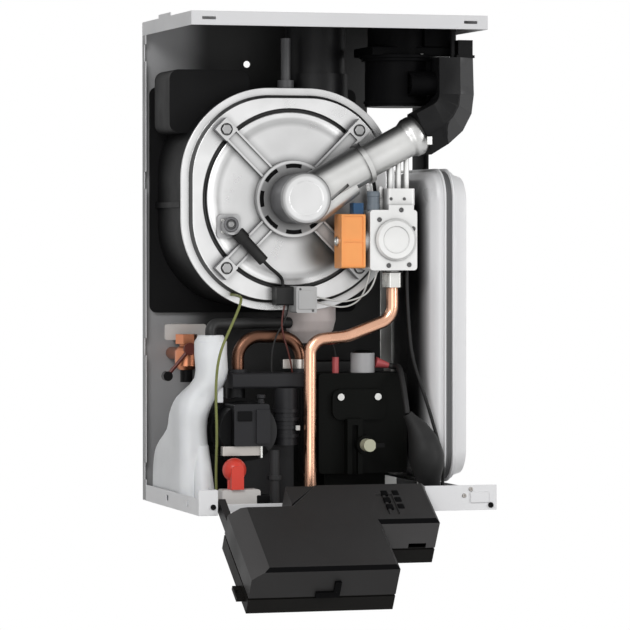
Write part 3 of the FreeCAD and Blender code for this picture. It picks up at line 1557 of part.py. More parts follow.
def relief_valve_knob():
    """Domed cap on a pin, with a grip tab down its front."""
    start = V(knob_offset, -(relief_front + relief_back) / 2, z_floor + relief_height + free_gap)
    pin_drop = knob_pin_length - 2 * free_gap
    pin = rod(start - Z_AXIS * pin_drop, Z_AXIS, knob_pin_radius, pin_drop)
    neck = rod(start, Z_AXIS, knob_neck_radius, knob_height - knob_radius)
    dome = Part.makeSphere(knob_radius, start + Z_AXIS * (knob_height - knob_radius))
    tab = box(around(knob_offset, knob_tab_width), (start.y - knob_radius - knob_tab_proud, start.y - knob_tab_root),
              (start.z, start.z + knob_tab_height))
    upright = straight_along(Y_AXIS)
    tab = softened(tab, knob_tab_width / 3, lambda edge: upright(edge) and edge.BoundBox.ZMin > start.z + free_gap)
    return joined(pin, neck, dome, tab)


def drain_knob():
    start = V(drain_x, -block_front - drain_stub_length - free_gap, z_floor + drain_rise)
    knob = rod(start, FRONT, drain_knob_radius, drain_knob_length)
    pin = rod(start, Y_AXIS, drain_pin_radius, drain_pin_length - free_gap)
    lever = box((drain_x, drain_x + drain_lever_length),
                (start.y - drain_knob_length, start.y - drain_knob_length / 2), around(start.z, drain_lever_width))
    return joined(knob, pin, lever)


def fill_valve_body():
    """Bulbous tap with a hexagon cap and a branch to the back panel."""
    top = V(fill_x, -fill_depth, z_fill_top)
    nut = hexagon(top, DOWN, fill_nut_flats, fill_nut_height, X_AXIS)
    neck = rod(top - Z_AXIS * fill_nut_height, DOWN, fill_neck_radius, fill_neck_height)
    bulb_top = z_fill_top - fill_nut_height - fill_neck_height
    bulb_height = 2 * fill_radius
    shoulder = fill_radius / 3
    profile = [(0, 0), (fill_radius - shoulder, 0), (fill_radius, -shoulder), (fill_radius, shoulder - bulb_height),
               (fill_radius - shoulder, -bulb_height), (0, -bulb_height)]
    bulb = revolved(profile, V(fill_x, -fill_depth, bulb_top), Z_AXIS)
    foot = rod(V(fill_x, -fill_depth, z_fill_top - fill_height), Z_AXIS, fill_foot_radius,
               fill_height - fill_nut_height)
    branch = rod(V(fill_x, -fill_depth, z_fill_top - fill_branch_drop), Y_AXIS, fill_branch_radius,
                 fill_depth - sheet)
    pin_hole = rod(V(fill_x, -fill_depth - fill_radius, z_lever), Y_AXIS, lever_pin_radius + running_clearance,
                   lever_pin_length)
    return joined(nut, neck, bulb, foot, branch).cut(pin_hole)


def fill_valve_lever():
    """Wire lever with a round knob."""
    y_hub = -fill_depth - fill_radius - free_gap
    middle = V(fill_x, y_hub, z_lever)
    hub = rod(middle, FRONT, lever_hub_radius, lever_thickness)
    pin = rod(middle, Y_AXIS, lever_pin_radius, lever_pin_length - free_gap)
    y_wire = y_hub - lever_thickness / 2
    wire = rod(V(fill_x, y_wire, z_lever), X_AXIS, lever_rod_radius, lever_length)
    knob_end = V(fill_x + lever_length, y_wire + lever_ball_radius, z_lever)
    knob = rod(knob_end, FRONT, lever_ball_radius, 2 * lever_ball_radius)
    lever = joined(hub, pin, wire, knob)
    lever.rotate(middle, Y_AXIS, -lever_angle)
    return lever


def pipe_bracket():
    left = -half_width + bracket_side_gap
    z = around(z_cell - shell_half - bracket_gap - bracket_height / 2, bracket_height)
    y = (-bracket_depth - bracket_thickness, -bracket_depth)
    plate = box((left, left + bracket_width), y, z)
    plate = softened(plate, bracket_pocket, straight_along(Y_AXIS))
    leg = box(around(left + bracket_width / 2, bracket_leg), (-bracket_depth, y_panel), z)
    return joined(plate, leg)


def vessel_lens(margin, bulge, direction, crown):
    """Half of the flat vessel: rounded sections that close in towards the crown."""
    sections = []
    for share, inset in crown:
        half_y = vessel_depth / 2 - margin - inset
        corner = vessel_corner * half_y / (vessel_depth / 2)
        half_z = vessel_height / 2 - margin - inset
        middle = V(vessel_x + direction * bulge * share, vessel_y, z_vessel)
        sections.append(rounded_wire(middle, Y_AXIS, Z_AXIS, half_y, half_z, corner))
    return Part.makeLoft(sections, True, True)


def vessel_half(bulge, direction, crown):
    """Shell with a bead set back from the seam, so that the two beads leave a channel."""
    outer = vessel_lens(0, bulge, direction, crown)
    inner = vessel_lens(vessel_wall, bulge - vessel_wall, direction, crown)
    middle = V(vessel_x + direction * vessel_seam, vessel_y, z_vessel)
    rim = rounded_prism(middle, Y_AXIS, Z_AXIS, vessel_depth / 2 + vessel_rim, vessel_height / 2 + vessel_rim,
                        vessel_corner + vessel_rim, X_AXIS * (direction * vessel_rim_width))
    return joined(outer, rim).cut(inner)


def vessel_left():
    return vessel_half(vessel_left_bulge, -1, vessel_left_crown)


def vessel_right():
    return vessel_half(vessel_right_bulge, 1, vessel_right_crown)


def vessel_bracket():
    """Plate on the back panel with a saddle under the vessel and a hook over it."""
    right = vessel_x - vessel_seam - vessel_rim_width - free_gap
    x = (right - vessel_bracket_width, right)
    z_high = z_vessel + vessel_height / 2
    z_low = z_vessel - vessel_height / 2
    plate = box(x, (y_panel - vessel_bracket_plate, y_panel), (z_floor, z_high + vessel_bracket_plate))
    hook = box(x, (y_panel - vessel_bracket_hook, y_panel), (z_high, z_high + vessel_bracket_plate))
    y_saddle = around(vessel_y, vessel_saddle_depth)
    shelf = box(x, (y_saddle[0], y_panel), (z_low - vessel_bracket_plate, z_low))
    post = box(x, (y_saddle[0], y_saddle[0] + vessel_bracket_plate), (z_floor, z_low))
    return joined(plate, hook, shelf, post)


def tail(x, radius):
    body = rod(V(x, -tail_depth, z_base - tail_drop), Z_AXIS, radius, tail_drop + sheet)
    collar = rod(V(x, -tail_depth, z_base), DOWN, radius + tail_collar_proud, tail_collar_height)
    return joined(body, collar)


def pipe_tails():
    tails = [tail(x, heating_tail_radius) for x in heating_tail_offsets]
    tails += [tail(x, water_tail_radius) for x in water_tail_offsets]
    return Part.makeCompound(tails)


def swung(shape):
    """Closed control box piece, turned forward to where it hangs open."""
    shape.rotate(V(0, y_hinge, z_hinge), X_AXIS, box_swing)
    return shape


def box_outline(y):
    """Outline of the control box seen from the front, at one depth."""
    z_low = z_hinge - box_hinge_gap
    z_notch = z_hinge + box_notch_height
    corners = [(box_left, z_notch), (box_left + box_notch_width, z_notch),
               (box_left + box_notch_width + box_notch_slope, z_low), (box_right, z_low),
               (box_right, z_hinge + box_side_height), (box_middle, z_hinge + box_side_height),
               (box_middle, z_hinge + box_height), (box_left, z_hinge + box_height)]
    points = [V(x, y, z) for x, z in corners]
    return Part.Face(Part.makePolygon(points + [points[0]]))


def left_bevel(margin):
    """Wedge over the cover's left rear edge, grown inwards by a margin."""
    width, depth = box_left_bevel
    slope = margin * (width + depth) / math.hypot(width, depth)
    far = box_left + width + slope
    deep = y_cover - depth - slope * depth / width
    corners = [V(box_left, deep, z_hinge), V(far, y_cover, z_hinge), V(box_left, y_cover, z_hinge)]
    wedge = Part.Face(Part.makePolygon(corners + corners[:1])).extrude(Z_AXIS * (2 * box_height))
    return wedge.translated(Z_AXIS * -box_height)


def control_cover():
    """Rear cover with bevelled edges, hinge pins, a latch and two cable ports."""
    cover = box_outline(y_seam).extrude(Y_AXIS * box_cover_depth)
    cover = cover.makeChamfer(box_bevel, edges_at(cover, lambda e: e.BoundBox.YMin > y_cover - 0.01))
    x_latch = (box_left + latch_offset, box_left + latch_offset + latch_width)
    z_far = z_hinge + box_height
    z_latch = (z_far, z_far + latch_proud)
    latch = joined(box(x_latch, (y_seam, y_seam + latch_bar), z_latch),
                   box((x_latch[1] - latch_bar, x_latch[1]), (y_seam, y_seam + latch_height), z_latch))
    lug = box((box_left, box_left + hinge_lug_width), around(y_hinge, 2 * hinge_lug_half),
              (z_hinge - hinge_lug_half, z_hinge + box_notch_height))
    left_pin = rod(V(box_left - hinge_pin_length, y_hinge, z_hinge), X_AXIS, hinge_pin_radius, hinge_pin_length)
    right_pin = rod(V(box_right, y_hinge, z_hinge), X_AXIS, hinge_pin_radius, hinge_pin_length)
    cover = joined(cover.cut(left_bevel(0)), latch, lug, left_pin, right_pin)
    hollow = box_outline(y_seam).makeOffset2D(-box_wall).extrude(Y_AXIS * (box_cover_depth - box_wall))
    cover = cover.cut(hollow.cut(left_bevel(box_wall)))
    exit_right = box_right - cable_exit_inset
    z_side = z_hinge + box_side_height
    cover = cover.cut(box((exit_right - cable_exit_width, exit_right), (y_seam, y_seam + cable_exit_height),
                          (z_side - box_wall, z_side)))
    for index in range(2):
        x = box_middle + port_pitch / 2 + index * port_pitch
        port = box((x, x + port_width), (y_cover - port_depth, y_cover),
                   (z_hinge + port_rise, z_hinge + port_rise + port_height))
        cover = cover.cut(port)
    return swung(cover)


def button_places():
    return [(box_left + display_offset + display_width / 2 + side * button_pitch / 2, z_hinge + button_rise)
            for side in (-1, 1)]


def display_span():
    x = (box_left + display_offset, box_left + display_offset + display_width)
    z = (z_hinge + display_rise, z_hinge + display_rise + display_height)
    return x, z


def control_tray():
    """Fascia side of the control box, with the display window and the button holes."""
    tray = box_outline(y_fascia).extrude(Y_AXIS * box_tray_depth)
    lug = box((box_left - lug_width, box_left), around(y_seam - box_tray_depth / 2, lug_thickness),
              (z_hinge + lug_rise, z_hinge + lug_rise + lug_height))
    lug_hole = rod(V(box_left - lug_width / 2, y_fascia, z_hinge + lug_rise + lug_height / 2), Y_AXIS,
                   lug_hole_radius, box_tray_depth)
    hollow = box_outline(y_fascia + box_wall).makeOffset2D(-box_wall).extrude(Y_AXIS * box_tray_depth)
    y_rebate = y_seam - box_rebate_height
    band = box_outline(y_rebate).extrude(Y_AXIS * box_rebate_height)
    core = box_outline(y_rebate).makeOffset2D(-box_rebate_depth).extrude(Y_AXIS * box_rebate_height)
    tray = joined(tray.cut(band.cut(core)), lug.cut(lug_hole)).cut(hollow)
    posts = []
    for x, z in board_corners():
        posts.append(rod(V(x, y_fascia + box_wall, z), Y_AXIS, board_post_radius,
                         box_tray_depth - box_wall - board_thickness))
    tray = joined(tray, *posts)
    x_display, z_display = display_span()
    tray = tray.cut(box(x_display, (y_fascia, y_fascia + box_wall), z_display))
    for x, z in button_places():
        tray = tray.cut(rod(V(x, y_fascia, z), Y_AXIS, button_radius + button_gap, box_wall))
    return swung(tray)


def board_span():
    x = (box_left + board_margin, box_middle - board_margin)
    z = (z_hinge + box_notch_height + board_margin, z_hinge + box_height - board_margin)
    return x, z


def board_corners():
    x, z = board_span()
    inset = board_post_radius * 1.5
    return [(a, b) for a in (x[0] + inset, x[1] - inset) for b in (z[0] + inset, z[1] - inset)]


def circuit_board():
    x, z = board_span()
    return swung(box(x, (y_seam - board_thickness, y_seam), z))


def display_lens():
    x, z = display_span()
    plug = box((x[0] + fit_clearance, x[1] - fit_clearance), (y_fascia, y_fascia + box_wall),
               (z[0] + fit_clearance, z[1] - fit_clearance))
    face = box((x[0] - display_lip, x[1] + display_lip), (y_fascia - display_proud, y_fascia),
               (z[0] - display_lip, z[1] + display_lip))
    face = softened(face, display_lip, straight_along(Y_AXIS))
    return swung(joined(plug, face))


def button(index):
    x, z = button_places()[index]
    start = V(x, y_fascia - button_proud, z)
    stem = rod(start, Y_AXIS, button_radius, button_proud + box_wall + free_gap + button_lip)
    lip = rod(V(x, y_fascia + box_wall + free_gap, z), Y_AXIS, button_radius + button_lip, button_lip)
    return swung(joined(stem, lip))


def button_down():
    return button(0)


def button_up():
    return button(1)


def earth_wire():
    y_front = -siphon_neck_depth - siphon_neck_radius - earth_gap
    top = cell_point(door_half + earth_tag_margin, earth_tag_angle, y_door_flange)
    x_low = siphon_neck_x + earth_side
    points = [top, V(top.x, y_front, top.z), V(x_low, y_front, top.z - earth_drop), V(x_low, y_front, z_floor)]
    return tube(points, earth_bends, earth_radius)


def cable_sleeve():
    """Swelling rubber sleeve down to the pan, measured from the casing's right side."""
    rings = []
    for rise, side, radius in smooth_rows(sleeve_rings, sleeve_steps):
        middle = V(half_width - side, -sleeve_depth, z_floor + rise)
        rings.append(Part.Wire(Part.makeCircle(radius, middle, Z_AXIS)))
    return Part.makeLoft(rings, True, True)


def valve_lead():
    """Thin lead from the gas valve down past the vessel to the pan."""
    start = V(valve_right - lead_side, y_valve_middle, z_valve_bottom)
    points = [start, start + Z_AXIS * lead_points[0][0]]
    for rise, side in lead_points[1:]:
        points.append(V(half_width - side, -lead_depth, z_floor + rise))
    points.append(V(points[-1].x, -lead_depth, z_floor))
    return tube(points, lead_bends, lead_radius)


def harness_cable():
    start = plug_cone_start() + plug_axis * plug_cone_length
    rise, side, radius = sleeve_rings[0]
    end = V(half_width - side, -sleeve_depth, z_floor + rise)
    points = [start, start + plug_axis * harness_lead]
    for across, depth, level in harness_points:
        points.append(V(half_width - across, -depth, z_floor + level))
    points.append(end)
    cable = joined(tube(points, harness_bends, harness_radius), cable_sleeve())
    return Part.makeCompound([cable, valve_lead()])


PARTS = [back_panel, top_panel, bottom_pan,
         exchanger_shell, exchanger_coil, burner_door, burner_tube, burner_flange, flange_nuts,
         mixture_elbow, elbow_cap, air_duct, fan_housing, fan_impeller, intake_collar, flue_socket, flue_sensor,
         gas_valve_body, gas_valve_cover, gas_valve_coil, gas_valve_plunger, coil_plug, gas_feed_block, gas_union,
         gas_pipe, electrode_holder, ignition_boots, ignition_unit, ignition_lead,
         condensate_bowl, condensate_hose, siphon_body, flow_pipe, pipe_clip, flow_manifold,
         pump_volute, pump_motor, pump_impeller, hydraulic_block, plate_exchanger, diverter_actuator, sensor_plugs,
         relief_valve_body, relief_valve_knob, drain_knob, fill_valve_body, fill_valve_lever, pipe_bracket,
         vessel_left, vessel_right, vessel_bracket, pipe_tails,
         control_cover, control_tray, circuit_board, display_lens, button_down, button_up,
         earth_wire, harness_cable]

os.makedirs("parts", exist_ok=True)
for part in PARTS:
    part().exportStep("parts/" + part.__name__ + ".step")
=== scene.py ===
"""Looks of a wall-hung gas boiler with its covers off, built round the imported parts."""
import json
import math

import bmesh
import bpy
from mathutils import Matrix, Vector


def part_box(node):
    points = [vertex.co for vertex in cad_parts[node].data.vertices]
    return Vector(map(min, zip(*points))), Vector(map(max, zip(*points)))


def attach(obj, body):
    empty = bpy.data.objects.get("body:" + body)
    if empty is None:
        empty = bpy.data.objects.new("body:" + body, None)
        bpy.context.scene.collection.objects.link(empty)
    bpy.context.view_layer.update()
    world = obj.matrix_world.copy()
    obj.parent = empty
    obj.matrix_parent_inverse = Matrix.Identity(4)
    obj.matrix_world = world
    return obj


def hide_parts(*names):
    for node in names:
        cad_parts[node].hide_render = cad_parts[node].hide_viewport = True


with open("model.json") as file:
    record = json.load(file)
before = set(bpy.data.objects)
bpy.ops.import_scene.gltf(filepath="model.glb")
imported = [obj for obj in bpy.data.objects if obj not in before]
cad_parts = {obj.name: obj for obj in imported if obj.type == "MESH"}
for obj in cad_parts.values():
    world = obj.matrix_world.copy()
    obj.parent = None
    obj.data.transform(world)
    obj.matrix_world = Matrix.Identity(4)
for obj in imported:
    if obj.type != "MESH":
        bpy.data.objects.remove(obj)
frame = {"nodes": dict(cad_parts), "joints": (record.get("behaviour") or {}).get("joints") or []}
NODES = frame["nodes"]
JOINTS = {joint["name"]: joint for joint in frame["joints"]}
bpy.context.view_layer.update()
MM = 0.001
ROOT = "boiler"
BOX = "control_box"
FRONT = Vector((0, -1, 0))
UP = Vector((0, 0, 1))
RIGHT = Vector((1, 0, 0))
X, Y, Z = range(3)


def mm(x, y, z):
    """Point given in millimetres."""
    return Vector((x, y, z)) * MM


def low(node, axis):
    """Lowest place of a node along an axis, to a tenth of a millimetre."""
    return round(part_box(node)[0][axis] / MM, 1)


def high(node, axis):
    """Highest place of a node along an axis, to a tenth of a millimetre."""
    return round(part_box(node)[1][axis] / MM, 1)


def middle(node, axis):
    """Middle of a node along an axis, in millimetres."""
    return (low(node, axis) + high(node, axis)) / 2


# Camera
PICTURE_WIDTH = 630
FOCAL_PIXELS = 3600
SENSOR_WIDTH = 36.0
VIEW_DEPTH = 50
CAMERA_PLACE = (-1475.7, -5195.5, -262.6)
CAMERA_DIP = 1.19
CAMERA_TURN = 16.33

camera_data = bpy.data.cameras.new("camera")
camera_data.sensor_width = SENSOR_WIDTH
camera_data.lens = FOCAL_PIXELS / PICTURE_WIDTH * SENSOR_WIDTH
camera_data.clip_end = VIEW_DEPTH
camera = bpy.data.objects.new("camera", camera_data)
bpy.context.collection.objects.link(camera)
camera.location = mm(*CAMERA_PLACE)
camera.rotation_euler = (math.radians(90 - CAMERA_DIP), 0, math.radians(-CAMERA_TURN))
bpy.context.scene.camera = camera


# Materials
MIX_FIRST = 6
MIX_SECOND = 7
MIX_RESULT = 2
NOISE_LOW = 0.3
NOISE_HIGH = 0.7
COLOUR_DETAIL = 5.0
GRAIN_DETAIL = 3.0
GRAIN_DEPTH = 0.0002
LEAST_ROUGHNESS = 0.02
CREVICE = 0.012
CREVICE_SAMPLES = 6
CREVICE_DARK = 0.25
CREVICE_CLEAR = 0.95
SPOT_CORE = 0.35
RING_REACH = 200.0
CELL_X = middle("burner_door", X)
CELL_Z = middle("burner_door", Z)


class Surface:
    """A node material that is put together step by step."""

    def __init__(self, name, colour, roughness, metallic=0.0, specular=0.5):
        self.material = bpy.data.materials.new(name)
        self.material.use_nodes = True
        self.tree = self.material.node_tree
        self.shader = self.tree.nodes["Principled BSDF"]
        self.shader.inputs["Base Color"].default_value = (*colour, 1)
        self.shader.inputs["Roughness"].default_value = roughness
        self.shader.inputs["Metallic"].default_value = metallic
        self.shader.inputs["Specular IOR Level"].default_value = specular
        self.material.diffuse_color = (*colour, 1)
        self.colour = colour
        self.roughness = roughness
        self.place = self.tree.nodes.new("ShaderNodeTexCoord").outputs["Object"]

    def node(self, kind, **inputs):
        """Shader node with values set on its named inputs."""
        made = self.tree.nodes.new("ShaderNode" + kind)
        for key, value in inputs.items():
            made.inputs[key.replace("_", " ")].default_value = value
        return made

    def link(self, output, target):
        self.tree.links.new(output, target)

    def noise(self, scale, detail):
        made = self.node("TexNoise", Scale=scale, Detail=detail)
        self.link(self.place, made.inputs["Vector"])
        return made.outputs["Fac"]

    def ranged(self, value, first, last, start=NOISE_LOW, end=NOISE_HIGH):
        """A value between start and end, mapped to run from first to last."""
        made = self.node("MapRange", From_Min=start, From_Max=end, To_Min=first, To_Max=last)
        self.link(value, made.inputs["Value"])
        return made.outputs["Result"]

    def mixed(self, factor, second):
        """Base colour so far, mixed with a second colour by a factor."""
        mix = self.node("Mix")
        mix.data_type = "RGBA"
        source = self.shader.inputs["Base Color"]
        if source.links:
            self.link(source.links[0].from_socket, mix.inputs[MIX_FIRST])
        else:
            mix.inputs[MIX_FIRST].default_value = (*self.colour, 1)
        mix.inputs[MIX_SECOND].default_value = (*second, 1)
        self.link(factor, mix.inputs["Factor"])
        self.link(mix.outputs[MIX_RESULT], source)
        return self

    def mottled(self, scale, amount):
        """Colour that drifts between the base colour and a darker one."""
        second = tuple(part * (1 - amount) for part in self.colour)
        return self.mixed(self.ranged(self.noise(scale, COLOUR_DETAIL), 0.0, 1.0), second)

    def crevice_shaded(self, amount):
        """Painted shade: darker in corners and crevices."""
        shade = self.node("AmbientOcclusion", Distance=CREVICE)
        shade.samples = CREVICE_SAMPLES
        hidden = self.ranged(shade.outputs["AO"], amount, 0.0, CREVICE_DARK, CREVICE_CLEAR)
        return self.mixed(hidden, (0.0, 0.0, 0.0))

    def vector(self, operation, source, value):
        made = self.node("VectorMath")
        made.operation = operation
        self.link(source, made.inputs[0])
        made.inputs[1].default_value = value
        return made

    def faded(self, direction, start, end, second):
        """A second colour that takes over along a direction, between two distances in metres."""
        along = self.vector("DOT_PRODUCT", self.place, direction).outputs["Value"]
        made = self.node("MapRange", From_Min=start, From_Max=end)
        made.interpolation_type = "SMOOTHSTEP"
        self.link(along, made.inputs["Value"])
        return self.mixed(made.outputs["Result"], second)

    def ringed(self, stops):
        """Greys that change with the distance in millimetres from the axis of the heat cell."""
        flat = self.vector("MULTIPLY", self.place, (1, 0, 1)).outputs["Vector"]
        radius = self.vector("DISTANCE", flat, mm(CELL_X, 0, CELL_Z)).outputs["Value"]
        share = self.node("MapRange", From_Max=RING_REACH * MM)
        self.link(radius, share.inputs["Value"])
        ramp = self.node("ValToRGB")
        self.link(share.outputs["Result"], ramp.inputs["Fac"])
        marks = ramp.color_ramp.elements
        while len(marks) < len(stops):
            marks.new(0.5)
        for mark, (place, grey) in zip(marks, stops):
            mark.position = place / RING_REACH
            mark.color = (grey, grey, grey, 1)
        self.link(ramp.outputs["Color"], self.shader.inputs["Base Color"])
        return self

    def spotted(self, centre, reach, second, amount):
        """A second colour that fades out from a place in metres."""
        far = self.vector("DISTANCE", self.place, centre).outputs["Value"]
        core = reach * SPOT_CORE
        made = self.node("MapRange", From_Min=core, From_Max=reach, To_Min=amount, To_Max=0.0)
        made.interpolation_type = "SMOOTHSTEP"
        self.link(far, made.inputs["Value"])
        return self.mixed(made.outputs["Result"], second)

    def worn(self, scale, spread):
        """Roughness that varies over the surface."""
        smooth = max(LEAST_ROUGHNESS, self.roughness - spread)
        rough = min(1.0, self.roughness + spread)
        value = self.ranged(self.noise(scale, COLOUR_DETAIL), smooth, rough)
        self.link(value, self.shader.inputs["Roughness"])
        return self

    def grained(self, scale, strength):
        """Fine relief."""
        bump = self.node("Bump", Strength=strength, Distance=GRAIN_DEPTH)
        self.link(self.noise(scale, GRAIN_DETAIL), bump.inputs["Height"])
        self.link(bump.outputs["Normal"], self.shader.inputs["Normal"])
        return self


def plastic(name, colour, roughness=0.5, grain=0.12, specular=0.35):
    made = Surface(name, colour, roughness, specular=specular)
    made.mottled(scale=9.0, amount=0.18)
    made.worn(scale=14.0, spread=0.08)
    return made.grained(scale=900.0, strength=grain)


def metal(name, colour, roughness, spread=0.08, grain=0.05, grain_scale=500.0, crevice_shade=0.0, metallic=1.0):
    made = Surface(name, colour, roughness, metallic)
    made.mottled(scale=18.0, amount=0.12)
    made.worn(scale=26.0, spread=spread)
    made.grained(scale=grain_scale, strength=grain)
    # painted shade in corners and crevices, from ambient occlusion
    if crevice_shade:
        made.crevice_shaded(crevice_shade)
    return made


def rubber(name, colour, roughness=0.7):
    made = Surface(name, colour, roughness, specular=0.25)
    made.mottled(scale=30.0, amount=0.25)
    made.worn(scale=40.0, spread=0.1)
    return made.grained(scale=1400.0, strength=0.2)


def paint(name, colour, roughness, drift=0.06):
    made = Surface(name, colour, roughness, specular=0.4)
    made.mottled(scale=3.0, amount=drift)
    made.worn(scale=18.0, spread=0.07)
    return made.grained(scale=700.0, strength=0.06)


# Painted sheet, each with its name, colour and roughness
PAINT_WHITE = paint("paint_white", (0.76, 0.76, 0.77), 0.38)
PAINT_GREY = paint("paint_grey", (0.3, 0.3, 0.305), 0.5, drift=0.12)
# painted shade: the grey of the back panel fades to near black towards the right, where the shell shades
# it
PAINT_GREY.faded(RIGHT, start=-0.165, end=-0.118, second=(0.004, 0.004, 0.004))
PAINT_TOP = paint("paint_top", (0.66, 0.66, 0.67), 0.4)
GALVANISED = paint("galvanised", (0.36, 0.365, 0.37), 0.5, drift=0.2)
GALVANISED.mottled(scale=60.0, amount=0.2)
VESSEL = paint("vessel_paint", (0.8, 0.8, 0.81), 0.34, drift=0.05)
# painted shade: shaded copy of the vessel paint for its left half, fading to near black towards its left
# side
VESSEL_LEFT_SHADED = paint("vessel_paint_left_shaded", (0.76, 0.76, 0.77), 0.34, drift=0.05)
VESSEL_LEFT_SHADED.faded(RIGHT, start=0.159, end=0.149, second=(0.012, 0.012, 0.0125))
# painted shade: near black for the groove at the vessel's seam
VESSEL_SEAM_SHADE = paint("vessel_seam_shade", (0.1, 0.1, 0.102), 0.5)

# Dark mouldings
SHELL_BLACK = plastic("shell_black", (0.008, 0.008, 0.0083), specular=0.06)
BLACK = plastic("black_plastic", (0.004, 0.004, 0.0043), 0.4, specular=0.07)
DUCT_BLACK = plastic("duct_black", (0.006, 0.006, 0.0064), 0.42, specular=0.1)
# painted light: lighter copy of the duct black, for the duct's right flank where the light falls
DUCT_PAINTED_LIGHT = plastic("duct_painted_light", (0.045, 0.045, 0.046), 0.42, specular=0.25)
BLOCK_BLACK = plastic("block_black", (0.0035, 0.0038, 0.0033), 0.4, grain=0.25, specular=0.05)
MANIFOLD = plastic("manifold_grey", (0.022, 0.022, 0.024), 0.45, specular=0.14)
BOX_BLACK = plastic("box_black", (0.018, 0.0172, 0.0172), grain=0.35, specular=0.2)
TRAY_BLACK = plastic("tray_black", (0.006, 0.0056, 0.005), grain=0.35, specular=0.08)
# painted light: lighter copy of the box black, for the cover faces that meet the light
BOX_PAINTED_LIGHT = plastic("box_painted_light", (0.06, 0.058, 0.058), grain=0.35, specular=0.2)
DRUM_BLACK = plastic("drum_black", (0.0025, 0.0025, 0.0028), specular=0.03)
FLUE_BLACK = plastic("flue_black", (0.006, 0.006, 0.0065), 0.45, specular=0.15)
DARK_GREY = plastic("dark_grey", (0.03, 0.03, 0.031), specular=0.15)
SENSOR_GREY = plastic("sensor_grey", (0.07, 0.07, 0.073))
SCREEN = plastic("display_dark", (0.01, 0.01, 0.012), 0.12, specular=0.5)

# Coloured and pale mouldings
CUP_GREY = plastic("cup_grey", (0.34, 0.34, 0.345), 0.45)
ORANGE = plastic("coil_orange", (0.93, 0.38, 0.12), 0.42)
BLUE = plastic("plug_blue", (0.012, 0.06, 0.14), 0.45)
BLUE_GREY = plastic("port_blue_grey", (0.16, 0.19, 0.22))
WHITE = plastic("white_plastic", (0.6, 0.58, 0.56), 0.45)
BOWL = plastic("bowl_grey", (0.84, 0.76, 0.74))
UNIT = plastic("unit_grey", (0.46, 0.46, 0.46), 0.45)
RED = plastic("knob_red", (0.68, 0.055, 0.035), 0.32)
PLUG_RED = plastic("plug_red", (0.42, 0.075, 0.08), 0.4)
YELLOW = plastic("knob_yellow", (0.5, 0.5, 0.37), 0.45)
BROWN = plastic("lever_brown", (0.12, 0.025, 0.018), 0.35)
BOARD = plastic("board_green", (0.02, 0.13, 0.05))
SIPHON = plastic("siphon_milky", (0.87, 0.885, 0.9), 0.42)
SIPHON.shader.inputs["Subsurface Weight"].default_value = 0.15
SIPHON.shader.inputs["Subsurface Radius"].default_value = (0.01, 0.01, 0.012)

# Metals on the heat cell, some with rings as (radius, grey) pairs round its axis; their darker rings are
# painted shade on the door's dished slope and groove, on the flange's hub and at the cap's rim
DOOR_RINGS = ((0, 0.56), (104, 0.6), (110, 0.4), (116, 0.46), (119, 0.7), (125.2, 0.68), (126, 0.04),
              (131, 0.03), (132, 0.7), (160, 0.66))
FLANGE_RINGS = ((0, 0.19), (49, 0.2), (51, 0.26), (52, 0.5), (54.8, 0.5), (55.6, 0.14), (57, 0.5),
                (140, 0.46))
CAP_RINGS = ((0, 0.55), (30.5, 0.57), (32.5, 0.38), (35, 0.28), (37, 0.22))
TUBE_ACROSS = (-0.468, 0, 0.884)

STEEL = Surface("stamped_steel", (0.72, 0.72, 0.72), 0.31, metallic=0.75)
STEEL.ringed(DOOR_RINGS)
# painted shadow: dark patch on the door below and right of the hub, where the gas valve and its coil cast
# their shadow
STEEL.spotted((0.012, -0.185, -0.272), reach=0.056, second=(0.04, 0.038, 0.032), amount=0.9)
STEEL.mixed(STEEL.ranged(STEEL.noise(scale=22.0, detail=4.0), 0.0, 0.2), (0.35, 0.35, 0.35))
STEEL.worn(scale=26.0, spread=0.05).grained(scale=240.0, strength=0.015).crevice_shaded(0.8)
INNER_STEEL = metal("inner_steel", (0.4, 0.4, 0.4), 0.45)
# painted shade: darker copy of the steel for the steps of the burner door
STEEL_SHADE = metal("steel_step_shade", (0.09, 0.09, 0.09), 0.45)
CAST = metal("cast_aluminium", (0.46, 0.46, 0.465), 0.42, grain=0.3, grain_scale=260.0, crevice_shade=0.85,
             metallic=0.8)
# painted shade: darker copy of the cast aluminium for the flange's arm walls and the elbow's wall; the
# electrode ring uses it too
CAST_DARK = metal("cast_shade", (0.13, 0.13, 0.135), 0.5, grain=0.3, grain_scale=260.0, crevice_shade=0.5,
                  metallic=0.6)
FLANGE = Surface("cast_flange", (0.48, 0.48, 0.48), 0.42, metallic=0.8)
FLANGE.ringed(FLANGE_RINGS)
FLANGE.worn(scale=26.0, spread=0.08).grained(scale=260.0, strength=0.3).crevice_shaded(0.85)
NUT = metal("nut_steel", (0.3, 0.3, 0.3), 0.42, grain=0.1, grain_scale=300.0, crevice_shade=0.6)
TUBE = metal("spun_aluminium", (0.56, 0.56, 0.55), 0.36, spread=0.06, grain=0.15, grain_scale=300.0,
             crevice_shade=0.6, metallic=0.85)
# painted shade: dark band along the upper left side of the mixing tube
TUBE.faded(TUBE_ACROSS, start=-0.149, end=-0.131, second=(0.07, 0.07, 0.07))
CAST_BRIGHT = Surface("turned_aluminium", (0.7, 0.7, 0.71), 0.38, metallic=0.75)
CAST_BRIGHT.ringed(CAP_RINGS)
CAST_BRIGHT.worn(scale=26.0, spread=0.05).grained(scale=400.0, strength=0.08)

